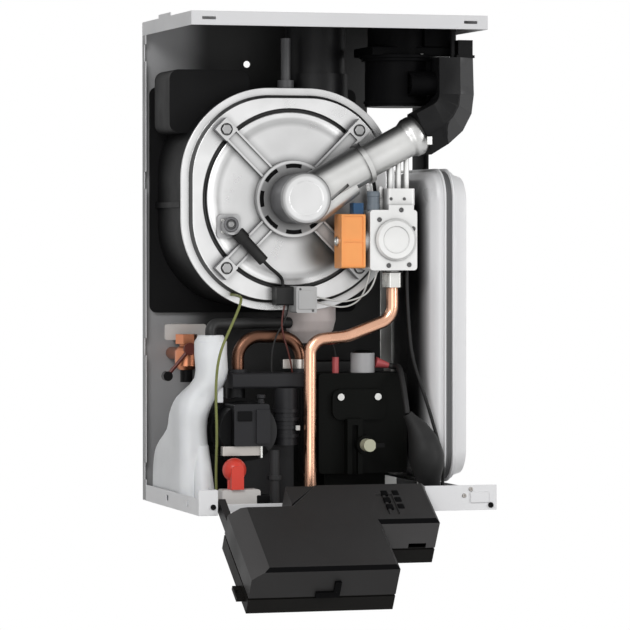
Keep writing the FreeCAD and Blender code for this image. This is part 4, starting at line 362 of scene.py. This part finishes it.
# Other metals
VALVE = metal("valve_casting", (0.72, 0.72, 0.71), 0.45, spread=0.06, grain=0.2, grain_scale=300.0,
              crevice_shade=0.7, metallic=0.35)
ZINC = metal("zinc", (0.6, 0.6, 0.58), 0.32)
ZINC_DULL = metal("zinc_dull", (0.36, 0.34, 0.32), 0.38, grain=0.1, grain_scale=300.0, crevice_shade=0.7)
SCREW_DARK = metal("dark_screw", (0.1, 0.1, 0.1), 0.4)
NICKEL = metal("nickel", (0.74, 0.74, 0.71), 0.25, spread=0.07, grain=0.06, grain_scale=300.0, crevice_shade=0.6)
COPPER = metal("copper", (0.66, 0.38, 0.26), 0.24, grain=0.04, grain_scale=200.0, crevice_shade=0.75)
# painted shade: darker copy of the copper for the flow pipe, which sits in shade inside the casing
COPPER_SHADED = metal("copper_shaded", (0.125, 0.062, 0.04), 0.3, grain=0.04, grain_scale=200.0, crevice_shade=0.85)
BRASS = metal("red_brass", (0.55, 0.22, 0.12), 0.35, grain=0.1, grain_scale=300.0, crevice_shade=0.7)
IRON = metal("pump_iron", (0.03, 0.03, 0.031), 0.55, grain=0.3, grain_scale=300.0)
# painted shade: the plate exchanger's steel made near black, as it sits in shade
PLATE_SHADED = metal("plate_steel_shaded", (0.03, 0.03, 0.03), 0.45)

# Rubber and insulation
RUBBER = rubber("rubber_black", (0.01, 0.01, 0.01), 0.6)
LEAD_WHITE = rubber("lead_white", (0.62, 0.62, 0.6), 0.5)
BROWN_WIRE = rubber("wire_brown", (0.09, 0.02, 0.015), 0.45)
HOSE = rubber("hose_grey", (0.02, 0.02, 0.02), 0.5)
EARTH = rubber("earth_green", (0.2, 0.22, 0.07), 0.5)
BUTTON = rubber("button_grey", (0.2, 0.2, 0.2))

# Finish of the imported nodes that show; the three lead nodes are replaced by cords further down
FINISH = {
    "back_panel": PAINT_GREY, "top_panel": PAINT_TOP, "bottom_pan": PAINT_WHITE,
    "exchanger_shell": SHELL_BLACK, "exchanger_coil": INNER_STEEL, "burner_door": STEEL,
    "burner_tube": INNER_STEEL, "burner_flange": FLANGE, "flange_nuts": NUT, "mixture_elbow": TUBE,
    "elbow_cap": CAST_BRIGHT, "air_duct": DUCT_BLACK, "fan_housing": DRUM_BLACK, "fan_impeller": BLACK,
    "intake_collar": DRUM_BLACK, "flue_socket": FLUE_BLACK, "flue_sensor": SENSOR_GREY,
    "gas_valve_body": VALVE, "gas_valve_cover": VALVE, "gas_valve_coil": ORANGE,
    "gas_valve_plunger": ZINC, "coil_plug": BLUE, "gas_feed_block": VALVE, "gas_union": NICKEL,
    "gas_pipe": COPPER, "electrode_holder": CAST, "ignition_boots": RUBBER, "ignition_unit": UNIT,
    "condensate_bowl": BOWL, "condensate_hose": HOSE, "siphon_body": SIPHON, "flow_pipe": COPPER_SHADED,
    "pipe_clip": ZINC_DULL, "flow_manifold": MANIFOLD, "pump_volute": IRON, "pump_motor": BLACK,
    "pump_impeller": BLACK, "hydraulic_block": BLOCK_BLACK, "plate_exchanger": PLATE_SHADED,
    "diverter_actuator": CUP_GREY, "sensor_plugs": PLUG_RED, "relief_valve_body": WHITE,
    "relief_valve_knob": RED, "drain_knob": YELLOW, "fill_valve_body": BRASS,
    "fill_valve_lever": BROWN, "pipe_bracket": WHITE, "vessel_left": VESSEL_LEFT_SHADED,
    "vessel_right": VESSEL, "vessel_bracket": ZINC, "pipe_tails": COPPER, "control_cover": BOX_BLACK,
    "control_tray": TRAY_BLACK, "circuit_board": BOARD, "display_lens": SCREEN,
    "button_down": BUTTON, "button_up": BUTTON,
}
ROUND_NODES = ("siphon_body", "vessel_left", "vessel_right")
WELD_GAP = 1e-6
FLAT_ANGLE = 0.4
BEVEL_STEPS = 2
NODE_BEVEL = 0.0008
NODE_SHARP_ANGLE = 38
ROUND_SHARP_ANGLE = 60


def dress_nodes():
    """Material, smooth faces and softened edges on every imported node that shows."""
    for name, surface in FINISH.items():
        piece = NODES[name]
        mesh = piece.data
        mesh.materials.clear()
        mesh.materials.append(surface.material)
        if "custom_normal" in mesh.attributes:
            mesh.attributes.remove(mesh.attributes["custom_normal"])
        for polygon in mesh.polygons:
            polygon.use_smooth = True
        weld = piece.modifiers.new("weld", "WELD")
        weld.merge_threshold = WELD_GAP
        if name == "back_panel":
            flat = piece.modifiers.new("flats", "DECIMATE")
            flat.decimate_type = "DISSOLVE"
            flat.angle_limit = math.radians(FLAT_ANGLE)
            flat.delimit = {"MATERIAL"}
        bevel = piece.modifiers.new("edges", "BEVEL")
        bevel.width = NODE_BEVEL
        bevel.segments = BEVEL_STEPS
        bevel.limit_method = "ANGLE"
        bevel.angle_limit = math.radians(ROUND_SHARP_ANGLE if name in ROUND_NODES else NODE_SHARP_ANGLE)
        smooth = piece.modifiers.new("normals", "WEIGHTED_NORMAL")
        smooth.keep_sharp = True


def repaint(node, surface, test):
    """A second material on the faces of a node whose middle, in millimetres, and normal pass a test."""
    mesh = NODES[node].data
    mesh.materials.append(surface.material)
    index = len(mesh.materials) - 1
    for polygon in mesh.polygons:
        if test(polygon.center / MM, polygon.normal):
            polygon.material_index = index


def from_cell(point):
    """Distance from the axis of the heat cell, in millimetres."""
    return math.hypot(point.x - CELL_X, point.z - CELL_Z)


# Turn that opens the control box, from its hinge
HINGE = JOINTS["control_box_hinge"]
HINGE_PLACE = Vector(HINGE["pos_m"])
HINGE_TRAVEL = math.radians(HINGE["range_deg"][1])
SWING = Matrix.Translation(HINGE_PLACE) @ Matrix.Rotation(HINGE_TRAVEL, 4, "X")
SWING = SWING @ Matrix.Translation(-HINGE_PLACE)
UNSWING = SWING.inverted()


def shut(point):
    """Place of a point on the control box when the box is shut, in millimetres."""
    return (UNSWING @ (point * MM)) / MM


# Places in millimetres where a node changes its finish
DUCT_FLANK = 175
DUCT_COLLAR = 2
COVER_STEP = 30
COVER_TOP = -445.5
DOOR_FACE = -171.5
DOOR_STEP_RADIUS = 133
ARM_START_RADIUS = 58
SLOT_INNER = 44.5
SLOT_OUTER = 51.5
SLOT_FRONT = -196.9
SLOT_BACK = -192
ELBOW_RADIUS = 37
ELBOW_FRONT = -255
MOTOR_SPLIT = -95
MOTOR_BODY_FRONT = -236
MOTOR_FACE = -255.9
FILL_BODY_FOOT = -453
LEVER_GRIP_X = -199
LEVER_GRIP_Z = -448
SEAM_LEFT = 177.05
SEAM_RIGHT = 186.95
BLOCK_FACE = -222.05
BOSS_LOW = -496
BOSS_HIGH = -482
BLOCK_MIDDLE = 48
BOSS_OFFSET = 20
DRAIN_STEM = 63
PANEL_EDGE = 217

# Limits of a face normal's part along one axis
FACING = 0.5
DUCT_FLANK_FACING = 0.25
COVER_FRONT_FACING = -0.94
COVER_SLANT_STEEP = -0.93
COVER_SLANT_FLAT = -0.7
COVER_SLANT_DOWN = -0.3
COVER_FLANK_STEEP = -0.95
COVER_FLANK_FLAT = -0.3
DOOR_STEP_FACING = 0.85
ARM_WALL_FACING = 0.6
ELBOW_WALL_FACING = 0.4


def cover_lit(p, n):
    """Slanted face and left flanks of the control cover, which get painted light."""
    slanted = COVER_SLANT_STEEP < n.y < COVER_SLANT_FLAT and n.z < COVER_SLANT_DOWN
    return (p.x > COVER_STEP and slanted) or COVER_FLANK_STEEP < n.x < COVER_FLANK_FLAT


def cover_dark(p, n):
    """Front face of the open control cover, and the end of its left half away from the hinge, which get
    painted shade.
    """
    return n.y < COVER_FRONT_FACING or (shut(p).z > COVER_TOP and p.x < 0)


def door_steps(p, n):
    """Outer steps of the burner door, which get painted shade."""
    return abs(n.y) < DOOR_STEP_FACING and p.y < DOOR_FACE and from_cell(p) > DOOR_STEP_RADIUS


def arm_walls(p, n):
    """Side walls of the flange's arms, which get painted shade."""
    return abs(n.y) < ARM_WALL_FACING and from_cell(p) > ARM_START_RADIUS


def hub_slots(p, n):
    """Slots in the flange's hub, which get painted shade."""
    return SLOT_INNER < from_cell(p) < SLOT_OUTER and SLOT_FRONT < p.y < SLOT_BACK


def elbow_wall(p, n):
    """Round wall of the elbow under its cap, which gets painted shade."""
    wall = abs(n.y) < ELBOW_WALL_FACING and n.x < FACING
    return wall and from_cell(p) < ELBOW_RADIUS and p.y > ELBOW_FRONT


def block_bosses(p, n):
    """Ends of the two bosses on the hydraulic block."""
    return p.y < BLOCK_FACE and BOSS_LOW < p.z < BOSS_HIGH and abs(p.x - BLOCK_MIDDLE) > BOSS_OFFSET


def duct_flank(p, n):
    """Right flank of the air duct, below the collar, which gets painted light."""
    return n.x > DUCT_FLANK_FACING and p.x > DUCT_FLANK and p.z < DUCT_COLLAR


def panel_outside(p, n):
    """Wall face and outer right side of the back panel."""
    return n.y > FACING or (n.x > FACING and p.x > PANEL_EDGE)


dress_nodes()
# painted light on the duct's right flank
repaint("air_duct", DUCT_PAINTED_LIGHT, duct_flank)
# painted light on the cover's slanted face and left flanks
repaint("control_cover", BOX_PAINTED_LIGHT, cover_lit)
# painted shade: darker black on the cover's front face and the far end of its left half
repaint("control_cover", DRUM_BLACK, cover_dark)
# painted shade on the outer steps of the burner door
repaint("burner_door", STEEL_SHADE, door_steps)
# painted shade on the side walls of the flange's arms
repaint("burner_flange", CAST_DARK, arm_walls)
# painted shade: black in the slots of the hub
repaint("burner_flange", BLACK, hub_slots)
# painted shade on the round wall of the elbow under its cap
repaint("mixture_elbow", CAST_DARK, elbow_wall)
repaint("pump_motor", DARK_GREY, lambda p, n: p.y < MOTOR_BODY_FRONT and p.x > MOTOR_SPLIT)
repaint("pump_motor", MANIFOLD, lambda p, n: p.y < MOTOR_FACE and p.x < MOTOR_SPLIT)
repaint("fill_valve_body", BLACK, lambda p, n: p.z < FILL_BODY_FOOT)
repaint("fill_valve_lever", BLACK, lambda p, n: p.x < LEVER_GRIP_X and p.z < LEVER_GRIP_Z)
# painted shade in the groove at the vessel's seam, on both halves
repaint("vessel_left", VESSEL_SEAM_SHADE, lambda p, n: p.x > SEAM_LEFT)
repaint("vessel_right", VESSEL_SEAM_SHADE, lambda p, n: p.x < SEAM_RIGHT)
repaint("hydraulic_block", ZINC, block_bosses)
repaint("drain_knob", BLACK, lambda p, n: p.x > DRAIN_STEM)
# painted light: the front edge of the panel's left flange in the white paint, brighter than the panel's
# grey
repaint("back_panel", PAINT_WHITE, lambda p, n: p.x < -PANEL_EDGE and n.y < -FACING)
repaint("back_panel", GALVANISED, panel_outside)


# Makers of added pieces
PIECE_SHARP_ANGLE = 35
TURNED_SIDES = 28
TURNED_BEVEL = 0.3
BLOCK_BEVEL = 0.8
SCREW_SIDES = 20
SCREW_BEVEL = 0.15
SCREW_SUNK = -0.2
CURVE_ORDER = 3
LEAD_SIDES = 4
LEAD_STEPS = 12
SLEEVE_SIDES = 10
SLEEVE_STEPS = 16


def finished(name, surface, mesh, bevel, body=ROOT):
    """A mesh made into a piece that rides on a body, with a bevel in millimetres."""
    made = bmesh.new()
    made.from_mesh(mesh)
    bmesh.ops.recalc_face_normals(made, faces=made.faces)
    made.to_mesh(mesh)
    made.free()
    piece = bpy.data.objects.new(name, mesh)
    bpy.context.collection.objects.link(piece)
    mesh.materials.append(surface.material)
    for polygon in mesh.polygons:
        polygon.use_smooth = True
    edges = piece.modifiers.new("edges", "BEVEL")
    edges.width = bevel * MM
    edges.segments = BEVEL_STEPS
    edges.limit_method = "ANGLE"
    edges.angle_limit = math.radians(PIECE_SHARP_ANGLE)
    normals = piece.modifiers.new("normals", "WEIGHTED_NORMAL")
    normals.keep_sharp = True
    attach(piece, body)
    return piece


def aimed(place, axis):
    """Transform that puts the Z axis along an axis at a place in millimetres."""
    turn = Vector(axis).to_track_quat("Z", "Y").to_matrix().to_4x4()
    return Matrix.Translation(mm(*place)) @ turn


def lathe(made, profile, matrix, segments):
    """Closed turned form from (radius, height) pairs in millimetres."""
    rings = []
    for radius, height in profile:
        ring = []
        for step in range(segments if radius > 0 else 1):
            turn = 2 * math.pi * step / segments
            point = mm(radius * math.cos(turn), radius * math.sin(turn), height)
            ring.append(made.verts.new(matrix @ point))
        rings.append(ring)
    for lower, upper in zip(rings, rings[1:]):
        for step in range(segments):
            after = (step + 1) % segments
            corners = [lower[step % len(lower)], lower[after % len(lower)],
                       upper[after % len(upper)], upper[step % len(upper)]]
            unique = list(dict.fromkeys(corners))
            if len(unique) > 2:
                made.faces.new(unique)


def prism(made, outline, height, matrix):
    """Straight form over an outline of (x, y) pairs in millimetres."""
    lower = [made.verts.new(matrix @ mm(x, y, 0)) for x, y in outline]
    upper = [made.verts.new(matrix @ mm(x, y, height)) for x, y in outline]
    made.faces.new(lower[::-1])
    made.faces.new(upper)
    for index in range(len(outline)):
        after = (index + 1) % len(outline)
        made.faces.new([lower[index], lower[after], upper[after], upper[index]])


def mesh_of(name, build):
    """Mesh that a function builds."""
    made = bmesh.new()
    build(made)
    mesh = bpy.data.meshes.new(name)
    made.to_mesh(mesh)
    made.free()
    return mesh


def turned(name, surface, profile, place, axis, segments=TURNED_SIDES):
    """Turned piece along an axis from a place in millimetres."""
    mesh = mesh_of(name, lambda made: lathe(made, profile, aimed(place, axis), segments))
    return finished(name, surface, mesh, TURNED_BEVEL)


def block(name, surface, x, y, z, bevel=BLOCK_BEVEL, matrix=None):
    """Block between pairs of millimetres with rounded edges."""
    outline = [(x[0], y[0]), (x[1], y[0]), (x[1], y[1]), (x[0], y[1])]
    lift = (matrix or Matrix()) @ Matrix.Translation(mm(0, 0, z[0]))
    mesh = mesh_of(name, lambda made: prism(made, outline, z[1] - z[0], lift))
    return finished(name, surface, mesh, bevel)


def screw_profile(radius, height):
    """Domed head with a socket."""
    shoulder = height * 0.5
    crown = radius * 0.8
    socket = radius * 0.45
    socket_foot = socket * 0.9
    socket_floor = height * 0.35
    return [(0, SCREW_SUNK), (radius, SCREW_SUNK), (radius, shoulder), (crown, height), (socket, height),
            (socket_foot, socket_floor), (0, socket_floor)]


def screws(name, surface, places, axis, radius, height):
    """Alike screw heads as one piece."""
    def build(made):
        for place in places:
            lathe(made, screw_profile(radius, height), aimed(place, axis), SCREW_SIDES)
    return finished(name, surface, mesh_of(name, build), SCREW_BEVEL)


def tube(name, surface, points, thickness, factors, sides, steps):
    """Smooth tube along given points, with a factor on its thickness at each of them."""
    data = bpy.data.curves.new(name, "CURVE")
    data.dimensions = "3D"
    data.bevel_depth = thickness * MM
    data.bevel_resolution = sides
    data.use_fill_caps = True
    spline = data.splines.new("NURBS")
    spline.points.add(len(points) - 1)
    for point, place, factor in zip(spline.points, points, factors):
        point.co = (*mm(*place), 1)
        point.radius = factor
    spline.order_u = CURVE_ORDER
    spline.use_endpoint_u = True
    spline.resolution_u = steps
    data.materials.append(surface.material)
    piece = bpy.data.objects.new(name, data)
    bpy.context.collection.objects.link(piece)
    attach(piece, ROOT)
    return piece


def lead(name, surface, diameter, points):
    """Thin lead between two pieces of the object."""
    even = [1.0] * len(points)
    piece = tube(name, surface, points, diameter / 2, even, LEAD_SIDES, LEAD_STEPS)
    return piece


def sleeve(name, surface, rings):
    """Rubber sleeve that swells and narrows along the given middles and radii."""
    points = [place for place, radius in rings]
    radii = [radius for place, radius in rings]
    return tube(name, surface, points, 1.0, radii, SLEEVE_SIDES, SLEEVE_STEPS)


# Gas valve
VALVE_FACE = low("gas_valve_body", Y)
VALVE_SCREW_PLACES = ((70, -233), (103, -219), (121, -246), (84, -299), (115, -298))
VALVE_SCREWS = [(x, VALVE_FACE, z) for x, z in VALVE_SCREW_PLACES]
FEED_FACE = low("gas_feed_block", Y)
FEED_SCREWS = [(89, FEED_FACE, -203), (109, FEED_FACE, -203)]
PORT_FOOT = high("gas_valve_body", Z) - 7
PORT_PROFILE = [(0, 0), (9.5, 0), (9.5, 8), (8.6, 9), (8.6, 19), (9.5, 20), (9.5, 25), (8, 27), (5, 27),
                (4.4, 24), (0, 24)]
TEST_POINT_PROFILE = [(0, 0), (5.5, 0), (5.5, 16), (4.5, 17), (4.5, 33), (3.6, 34.5), (1.6, 34.5),
                      (1.4, 31), (0, 31)]
COIL_END = (low("gas_valve_coil", X), middle("gas_valve_coil", Y), middle("gas_valve_coil", Z))
COIL_NUT_PROFILE = [(0, 0), (7, 0), (7, 3), (5.6, 4.2), (3, 4.2), (2.6, 2.4), (0, 2.4)]

screws("valve_screws", SCREW_DARK, VALVE_SCREWS, FRONT, radius=3.4, height=1.6)
screws("feed_screws", SCREW_DARK, FEED_SCREWS, FRONT, radius=2.3, height=1.2)
turned("valve_port", BLUE_GREY, PORT_PROFILE, (66, -232, PORT_FOOT), UP)
turned("valve_test_point", VALVE, TEST_POINT_PROFILE, (80, -222, PORT_FOOT), UP)
turned("coil_nut", ZINC, COIL_NUT_PROFILE, COIL_END, -RIGHT)

# Fan, duct and flue
COLLAR_X = middle("intake_collar", X)
COLLAR_Y = middle("intake_collar", Y)
COLLAR_LEDGE = low("intake_collar", Z) + 4
COLLAR_SCREW_RADIUS = 50
COLLAR_SCREW_ANGLES = (-1.1, -0.35, 2.0, 3.9)
GASKET_PROFILE = [(46, 0), (46, 1.6), (45, 2.6), (42.5, 2.6), (41.5, 1.6), (41.5, 0), (46, 0)]
GASKET_SIDES = 64
GASKET_SEATS = {"flue_gasket": "flue_socket", "intake_gasket": "intake_collar"}
CLIP_SEAT = aimed((143, -256.4, -119), (0.1, -1, 0))

collar_places = []
for angle in COLLAR_SCREW_ANGLES:
    along_x = COLLAR_SCREW_RADIUS * math.cos(angle)
    along_y = COLLAR_SCREW_RADIUS * math.sin(angle)
    collar_places.append((COLLAR_X + along_x, COLLAR_Y + along_y, COLLAR_LEDGE))
screws("collar_screws", ZINC, collar_places, UP, radius=3.0, height=2.2)
block("intake_plate", DRUM_BLACK, x=(70, 196), y=(-214, -122), z=(5, 18.5), bevel=2.0)
block("intake_bracket", DRUM_BLACK, x=(150, 197), y=(-212, -170), z=(18, 56), bevel=2.0)
block("duct_web", DRUM_BLACK, x=(152, 164), y=(-208, -186), z=(-64, 1.5))
for gasket, seat in GASKET_SEATS.items():
    seat_middle = (middle(seat, X), middle(seat, Y), high(seat, Z))
    turned(gasket, RUBBER, GASKET_PROFILE, seat_middle, UP, GASKET_SIDES)
block("duct_clip", ZINC, x=(-4, 4), y=(-6, 6), z=(0, 2.2), matrix=CLIP_SEAT)

# Ignition
HOLDER_SCREWS = [(-147, -188, -251), (-147, -188, -234)]
ELECTRODE_PLACE = (-141, low("electrode_holder", Y), -240)
RING_PROFILE = [(0, 1), (6, 1), (6, 0), (11, 0), (11, 2.5), (10, 3.5), (7.5, 3.5), (6.6, 1.4), (0, 1.4)]
DOME_PROFILE = [(0, 1.2), (5.4, 1.2), (5.4, 2.6), (3.8, 4.2), (0, 4.8)]
UNIT_FACE = low("ignition_unit", Y)
UNIT_LID_DEPTH = (UNIT_FACE - 1.4, UNIT_FACE + 0.2)
UNIT_SCREWS = [(-39, UNIT_FACE, -333), (-20, UNIT_FACE, -364)]

screws("holder_screws", ZINC, HOLDER_SCREWS, FRONT, radius=2.6, height=1.6)
turned("electrode_ring", CAST_DARK, RING_PROFILE, ELECTRODE_PLACE, FRONT)
turned("electrode_dome", CAST_BRIGHT, DOME_PROFILE, ELECTRODE_PLACE, FRONT)
block("unit_lid", UNIT, x=(-42, -17), y=UNIT_LID_DEPTH, z=(-362, -335), bevel=0.7)
screws("unit_screws", SCREW_DARK, UNIT_SCREWS, FRONT, radius=1.8, height=1.0)

# Leads, with diameters and routes in millimetres
lead("valve_lead_a", LEAD_WHITE, diameter=2.4, points=[
    (-14.5, -200, -350), (8, -204, -358), (36, -214, -360), (57, -226, -340), (62, -230, -305.5)])
lead("valve_lead_b", LEAD_WHITE, diameter=2.4, points=[
    (-14.5, -206, -344), (10, -210, -350), (34, -219, -352), (66, -234, -336), (70, -238, -305.5)])
lead("ignition_wire_a", BROWN_WIRE, diameter=2.6, points=[
    (-58, -201, -356.5), (-64, -204, -376), (-62, -206, -400), (-52, -206, -428), (-47, -203, -453.4)])
lead("ignition_wire_b", RUBBER, diameter=2.6, points=[
    (-52, -199, -356.5), (-56, -203, -378), (-72, -206, -398), (-80, -206, -428), (-78, -203, -453.4)])
lead("sensor_wire", RUBBER, diameter=2.8, points=[
    (20, -196, -432), (19, -197, -416), (4, -200, -406), (-14, -202, -416), (-22, -200, -453.4)])

earth_cord = lead("earth_cord", EARTH, diameter=4.0, points=[
    (-129.4, -171, -341.2), (-129.4, -203, -341.8), (-130.5, -239, -345), (-147, -242, -382),
    (-167, -242, -424), (-172, -241, -474), (-169.5, -242, -536), (-171.5, -241.5, -598),
    (-170, -241.5, -646.5)])
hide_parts("earth_wire")
ignition_cord = lead("ignition_cord", RUBBER, diameter=5.0, points=[
    (-91.1, -207, -292.6), (-82.9, -207, -301.4), (-68, -201, -311), (-58, -191.5, -319.6),
    (-58, -191.5, -329.6)])
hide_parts("ignition_lead")
harness_cord = lead("harness_cord", RUBBER, diameter=8.0, points=[
    (100.2, -196, -444.8), (108.9, -196, -447), (111, -212, -445), (108, -232, -453),
    (108, -250, -481.5), (108, -263, -512.5)])
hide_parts("harness_cable")
valve_cord = lead("valve_cord", RUBBER, diameter=5.0, points=[
    (118, -229, -306), (118, -229, -334), (118.5, -236, -382), (122, -241, -434), (144, -241, -494.5),
    (162, -241, -553.5), (171, -241, -589.5), (168, -241, -620.5), (168, -241, -646.5)])
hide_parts("harness_cable")
cable_sleeve = sleeve("cable_sleeve", RUBBER, rings=[
    ((108, -263, -512.5), 7), ((114, -263, -521), 9), ((124, -263, -534.5), 16),
    ((134, -263, -558.5), 24), ((138, -263, -580.5), 26), ((140, -263, -602.5), 20),
    ((146, -263, -622.5), 11), ((150, -263, -646.5), 8)])
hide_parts("harness_cable")

# Water side and pan
BLEED_PLACE = (-104, -240, -496)
BLEED_PROFILE = [(0, 0), (5, 0), (5, 3), (4, 4), (4, 7), (6, 8), (6, 12), (5, 13), (1.2, 13), (1.2, 11.5),
                 (0, 11.5)]
PAN_FACE = low("bottom_pan", Y)
PAN_CATCH_DEPTH = (PAN_FACE - 2.5, PAN_FACE + 0.2)
PAN_SCREWS = [(171, PAN_FACE, -627), (181, PAN_FACE, -618)]
PAN_STUDS = [(211, PAN_FACE, -641), (-199, PAN_FACE, -636)]

block("siphon_tab", SIPHON, x=(-157, -149), y=(-199, -194), z=(-496, -474))
block("cartridge_clip", LEAD_WHITE, x=(-48, -42), y=(-226.5, -222.0), z=(-536, -529),
      bevel=0.6)
turned("pump_bleed", MANIFOLD, BLEED_PROFILE, BLEED_PLACE, UP)
block("pump_socket", BLACK, x=(-143, -122), y=(-258.5, -255.8), z=(-520, -506))
block("strap_end", ZINC, x=(-108.5, -105.5), y=(-254, -238), z=(-573, -556), bevel=0.5)
block("pan_catch", PAINT_WHITE, x=(180, 208), y=PAN_CATCH_DEPTH, z=(-637, -622))
screws("pan_screws", ZINC_DULL, PAN_SCREWS, FRONT, radius=3.2, height=1.6)
screws("pan_studs", BLACK, PAN_STUDS, FRONT, radius=4.0, height=3.0)
block("pan_block", BLACK, x=(-121, -101), y=(-278, -258), z=(-646.4, -624), bevel=2.0)

# Control box, built shut and swung open
COVER_FACE = -286
CORNER_OUTLINE = [(-97, -637), (-56, -637), (-56, -636), (-97, -596)]
CORNER_DEPTH = (-330, COVER_FACE - 0.4)
CORNER_BEVEL = 0.8
PORT_COLUMNS = (38, 54)
PORT_ROWS = (-622, -606, -590)
PORT_WIDTH = 10
PORT_HEIGHT = 11
PORT_DEPTH = (COVER_FACE - 4, COVER_FACE + 1.2)
PORT_BEVEL = 1.5


def box_prism(name, surface, outline, y, bevel):
    """Straight form over an outline of (x, z) pairs, between two depths of the shut box."""
    flat = [(x, -z) for x, z in outline]
    turn = SWING @ Matrix.Translation(mm(0, y[0], 0)) @ Matrix.Rotation(math.radians(-90), 4, "X")
    mesh = mesh_of(name, lambda made: prism(made, flat, y[1] - y[0], turn))
    return finished(name, surface, mesh, bevel, BOX)


box_prism("box_corner", BOX_BLACK, CORNER_OUTLINE, CORNER_DEPTH, CORNER_BEVEL)
for column, left in enumerate(PORT_COLUMNS):
    for row, foot in enumerate(PORT_ROWS):
        right = left + PORT_WIDTH
        top = foot + PORT_HEIGHT
        port_outline = [(left, foot), (right, foot), (right, top), (left, top)]
        port_name = f"box_port_{column}{row}"
        box_prism(port_name, DRUM_BLACK, port_outline, PORT_DEPTH, PORT_BEVEL)


# Floor, light and background
FLOOR_CELLS = 8
FLOOR_REACH = 1.6
FLOOR_PLACE = (0, -1.0, -1.15)
FLOOR_COLOUR = (0.8, 0.8, 0.8)
FLOOR_ROUGHNESS = 0.8
FLOOR_GLOW = 0.62
WORLD_COLOUR = (0.5, 0.5, 0.5, 1)
WORLD_STRENGTH = 0.32
PURE_WHITE = (1, 1, 1, 1)


def either(tree, first, second):
    """Larger of two outputs in a node tree."""
    made = tree.nodes.new("ShaderNodeMath")
    made.operation = "MAXIMUM"
    tree.links.new(first, made.inputs[0])
    tree.links.new(second, made.inputs[1])
    return made.outputs[0]


def floor():
    """Pale floor under the object that glows where the camera or gloss shows it."""
    made = bmesh.new()
    bmesh.ops.create_grid(made, x_segments=FLOOR_CELLS, y_segments=FLOOR_CELLS, size=FLOOR_REACH)
    mesh = bpy.data.meshes.new("floor")
    made.to_mesh(mesh)
    made.free()
    piece = bpy.data.objects.new("floor", mesh)
    bpy.context.collection.objects.link(piece)
    piece.location = FLOOR_PLACE
    surface = Surface("floor_pale", FLOOR_COLOUR, FLOOR_ROUGHNESS)
    surface.mottled(scale=2.0, amount=0.02)
    glow = surface.node("Emission", Color=PURE_WHITE, Strength=FLOOR_GLOW)
    paths = surface.node("LightPath")
    seen = either(surface.tree, paths.outputs["Is Camera Ray"], paths.outputs["Is Glossy Ray"])
    total = surface.node("AddShader")
    surface.link(surface.shader.outputs[0], total.inputs[0])
    surface.link(glow.outputs[0], total.inputs[1])
    mix = surface.node("MixShader")
    surface.link(seen, mix.inputs[0])
    surface.link(surface.shader.outputs[0], mix.inputs[1])
    surface.link(total.outputs[0], mix.inputs[2])
    surface.link(mix.outputs[0], surface.tree.nodes["Material Output"].inputs["Surface"])
    mesh.materials.append(surface.material)


def lamp(name, place, target, size, power):
    """Area lamp that faces a target, in metres and watts."""
    data = bpy.data.lights.new(name, "AREA")
    data.shape = "RECTANGLE"
    data.size, data.size_y = size
    data.energy = power
    made = bpy.data.objects.new(name, data)
    bpy.context.collection.objects.link(made)
    made.location = place
    made.rotation_euler = (Vector(target) - Vector(place)).to_track_quat("-Z", "Y").to_euler()


def background():
    """Grey light on the object, and white where the camera, gloss or clear pieces show it."""
    world = bpy.data.worlds.new("studio")
    bpy.context.scene.world = world
    world.use_nodes = True
    tree = world.node_tree
    light = tree.nodes["Background"]
    light.inputs["Color"].default_value = WORLD_COLOUR
    light.inputs["Strength"].default_value = WORLD_STRENGTH
    shown = tree.nodes.new("ShaderNodeBackground")
    shown.inputs["Color"].default_value = PURE_WHITE
    paths = tree.nodes.new("ShaderNodeLightPath")
    seen = either(tree, paths.outputs["Is Camera Ray"], paths.outputs["Is Glossy Ray"])
    seen_or_clear = either(tree, seen, paths.outputs["Is Transmission Ray"])
    mix = tree.nodes.new("ShaderNodeMixShader")
    tree.links.new(seen_or_clear, mix.inputs[0])
    tree.links.new(light.outputs[0], mix.inputs[1])
    tree.links.new(shown.outputs[0], mix.inputs[2])
    tree.links.new(mix.outputs[0], tree.nodes["World Output"].inputs["Surface"])


floor()
lamp("key", place=(-1.6, -2.8, 1.3), target=(0, -0.2, -0.3), size=(1.2, 1.2), power=52)
lamp("fill", place=(2.2, -2.4, 0.3), target=(0, -0.2, -0.35), size=(1.0, 1.8), power=32)
lamp("front", place=(-0.9, -3.8, -0.7), target=(0, -0.2, -0.4), size=(2.4, 1.8), power=27)
background()

bpy.context.scene.view_settings.view_transform = "Standard"
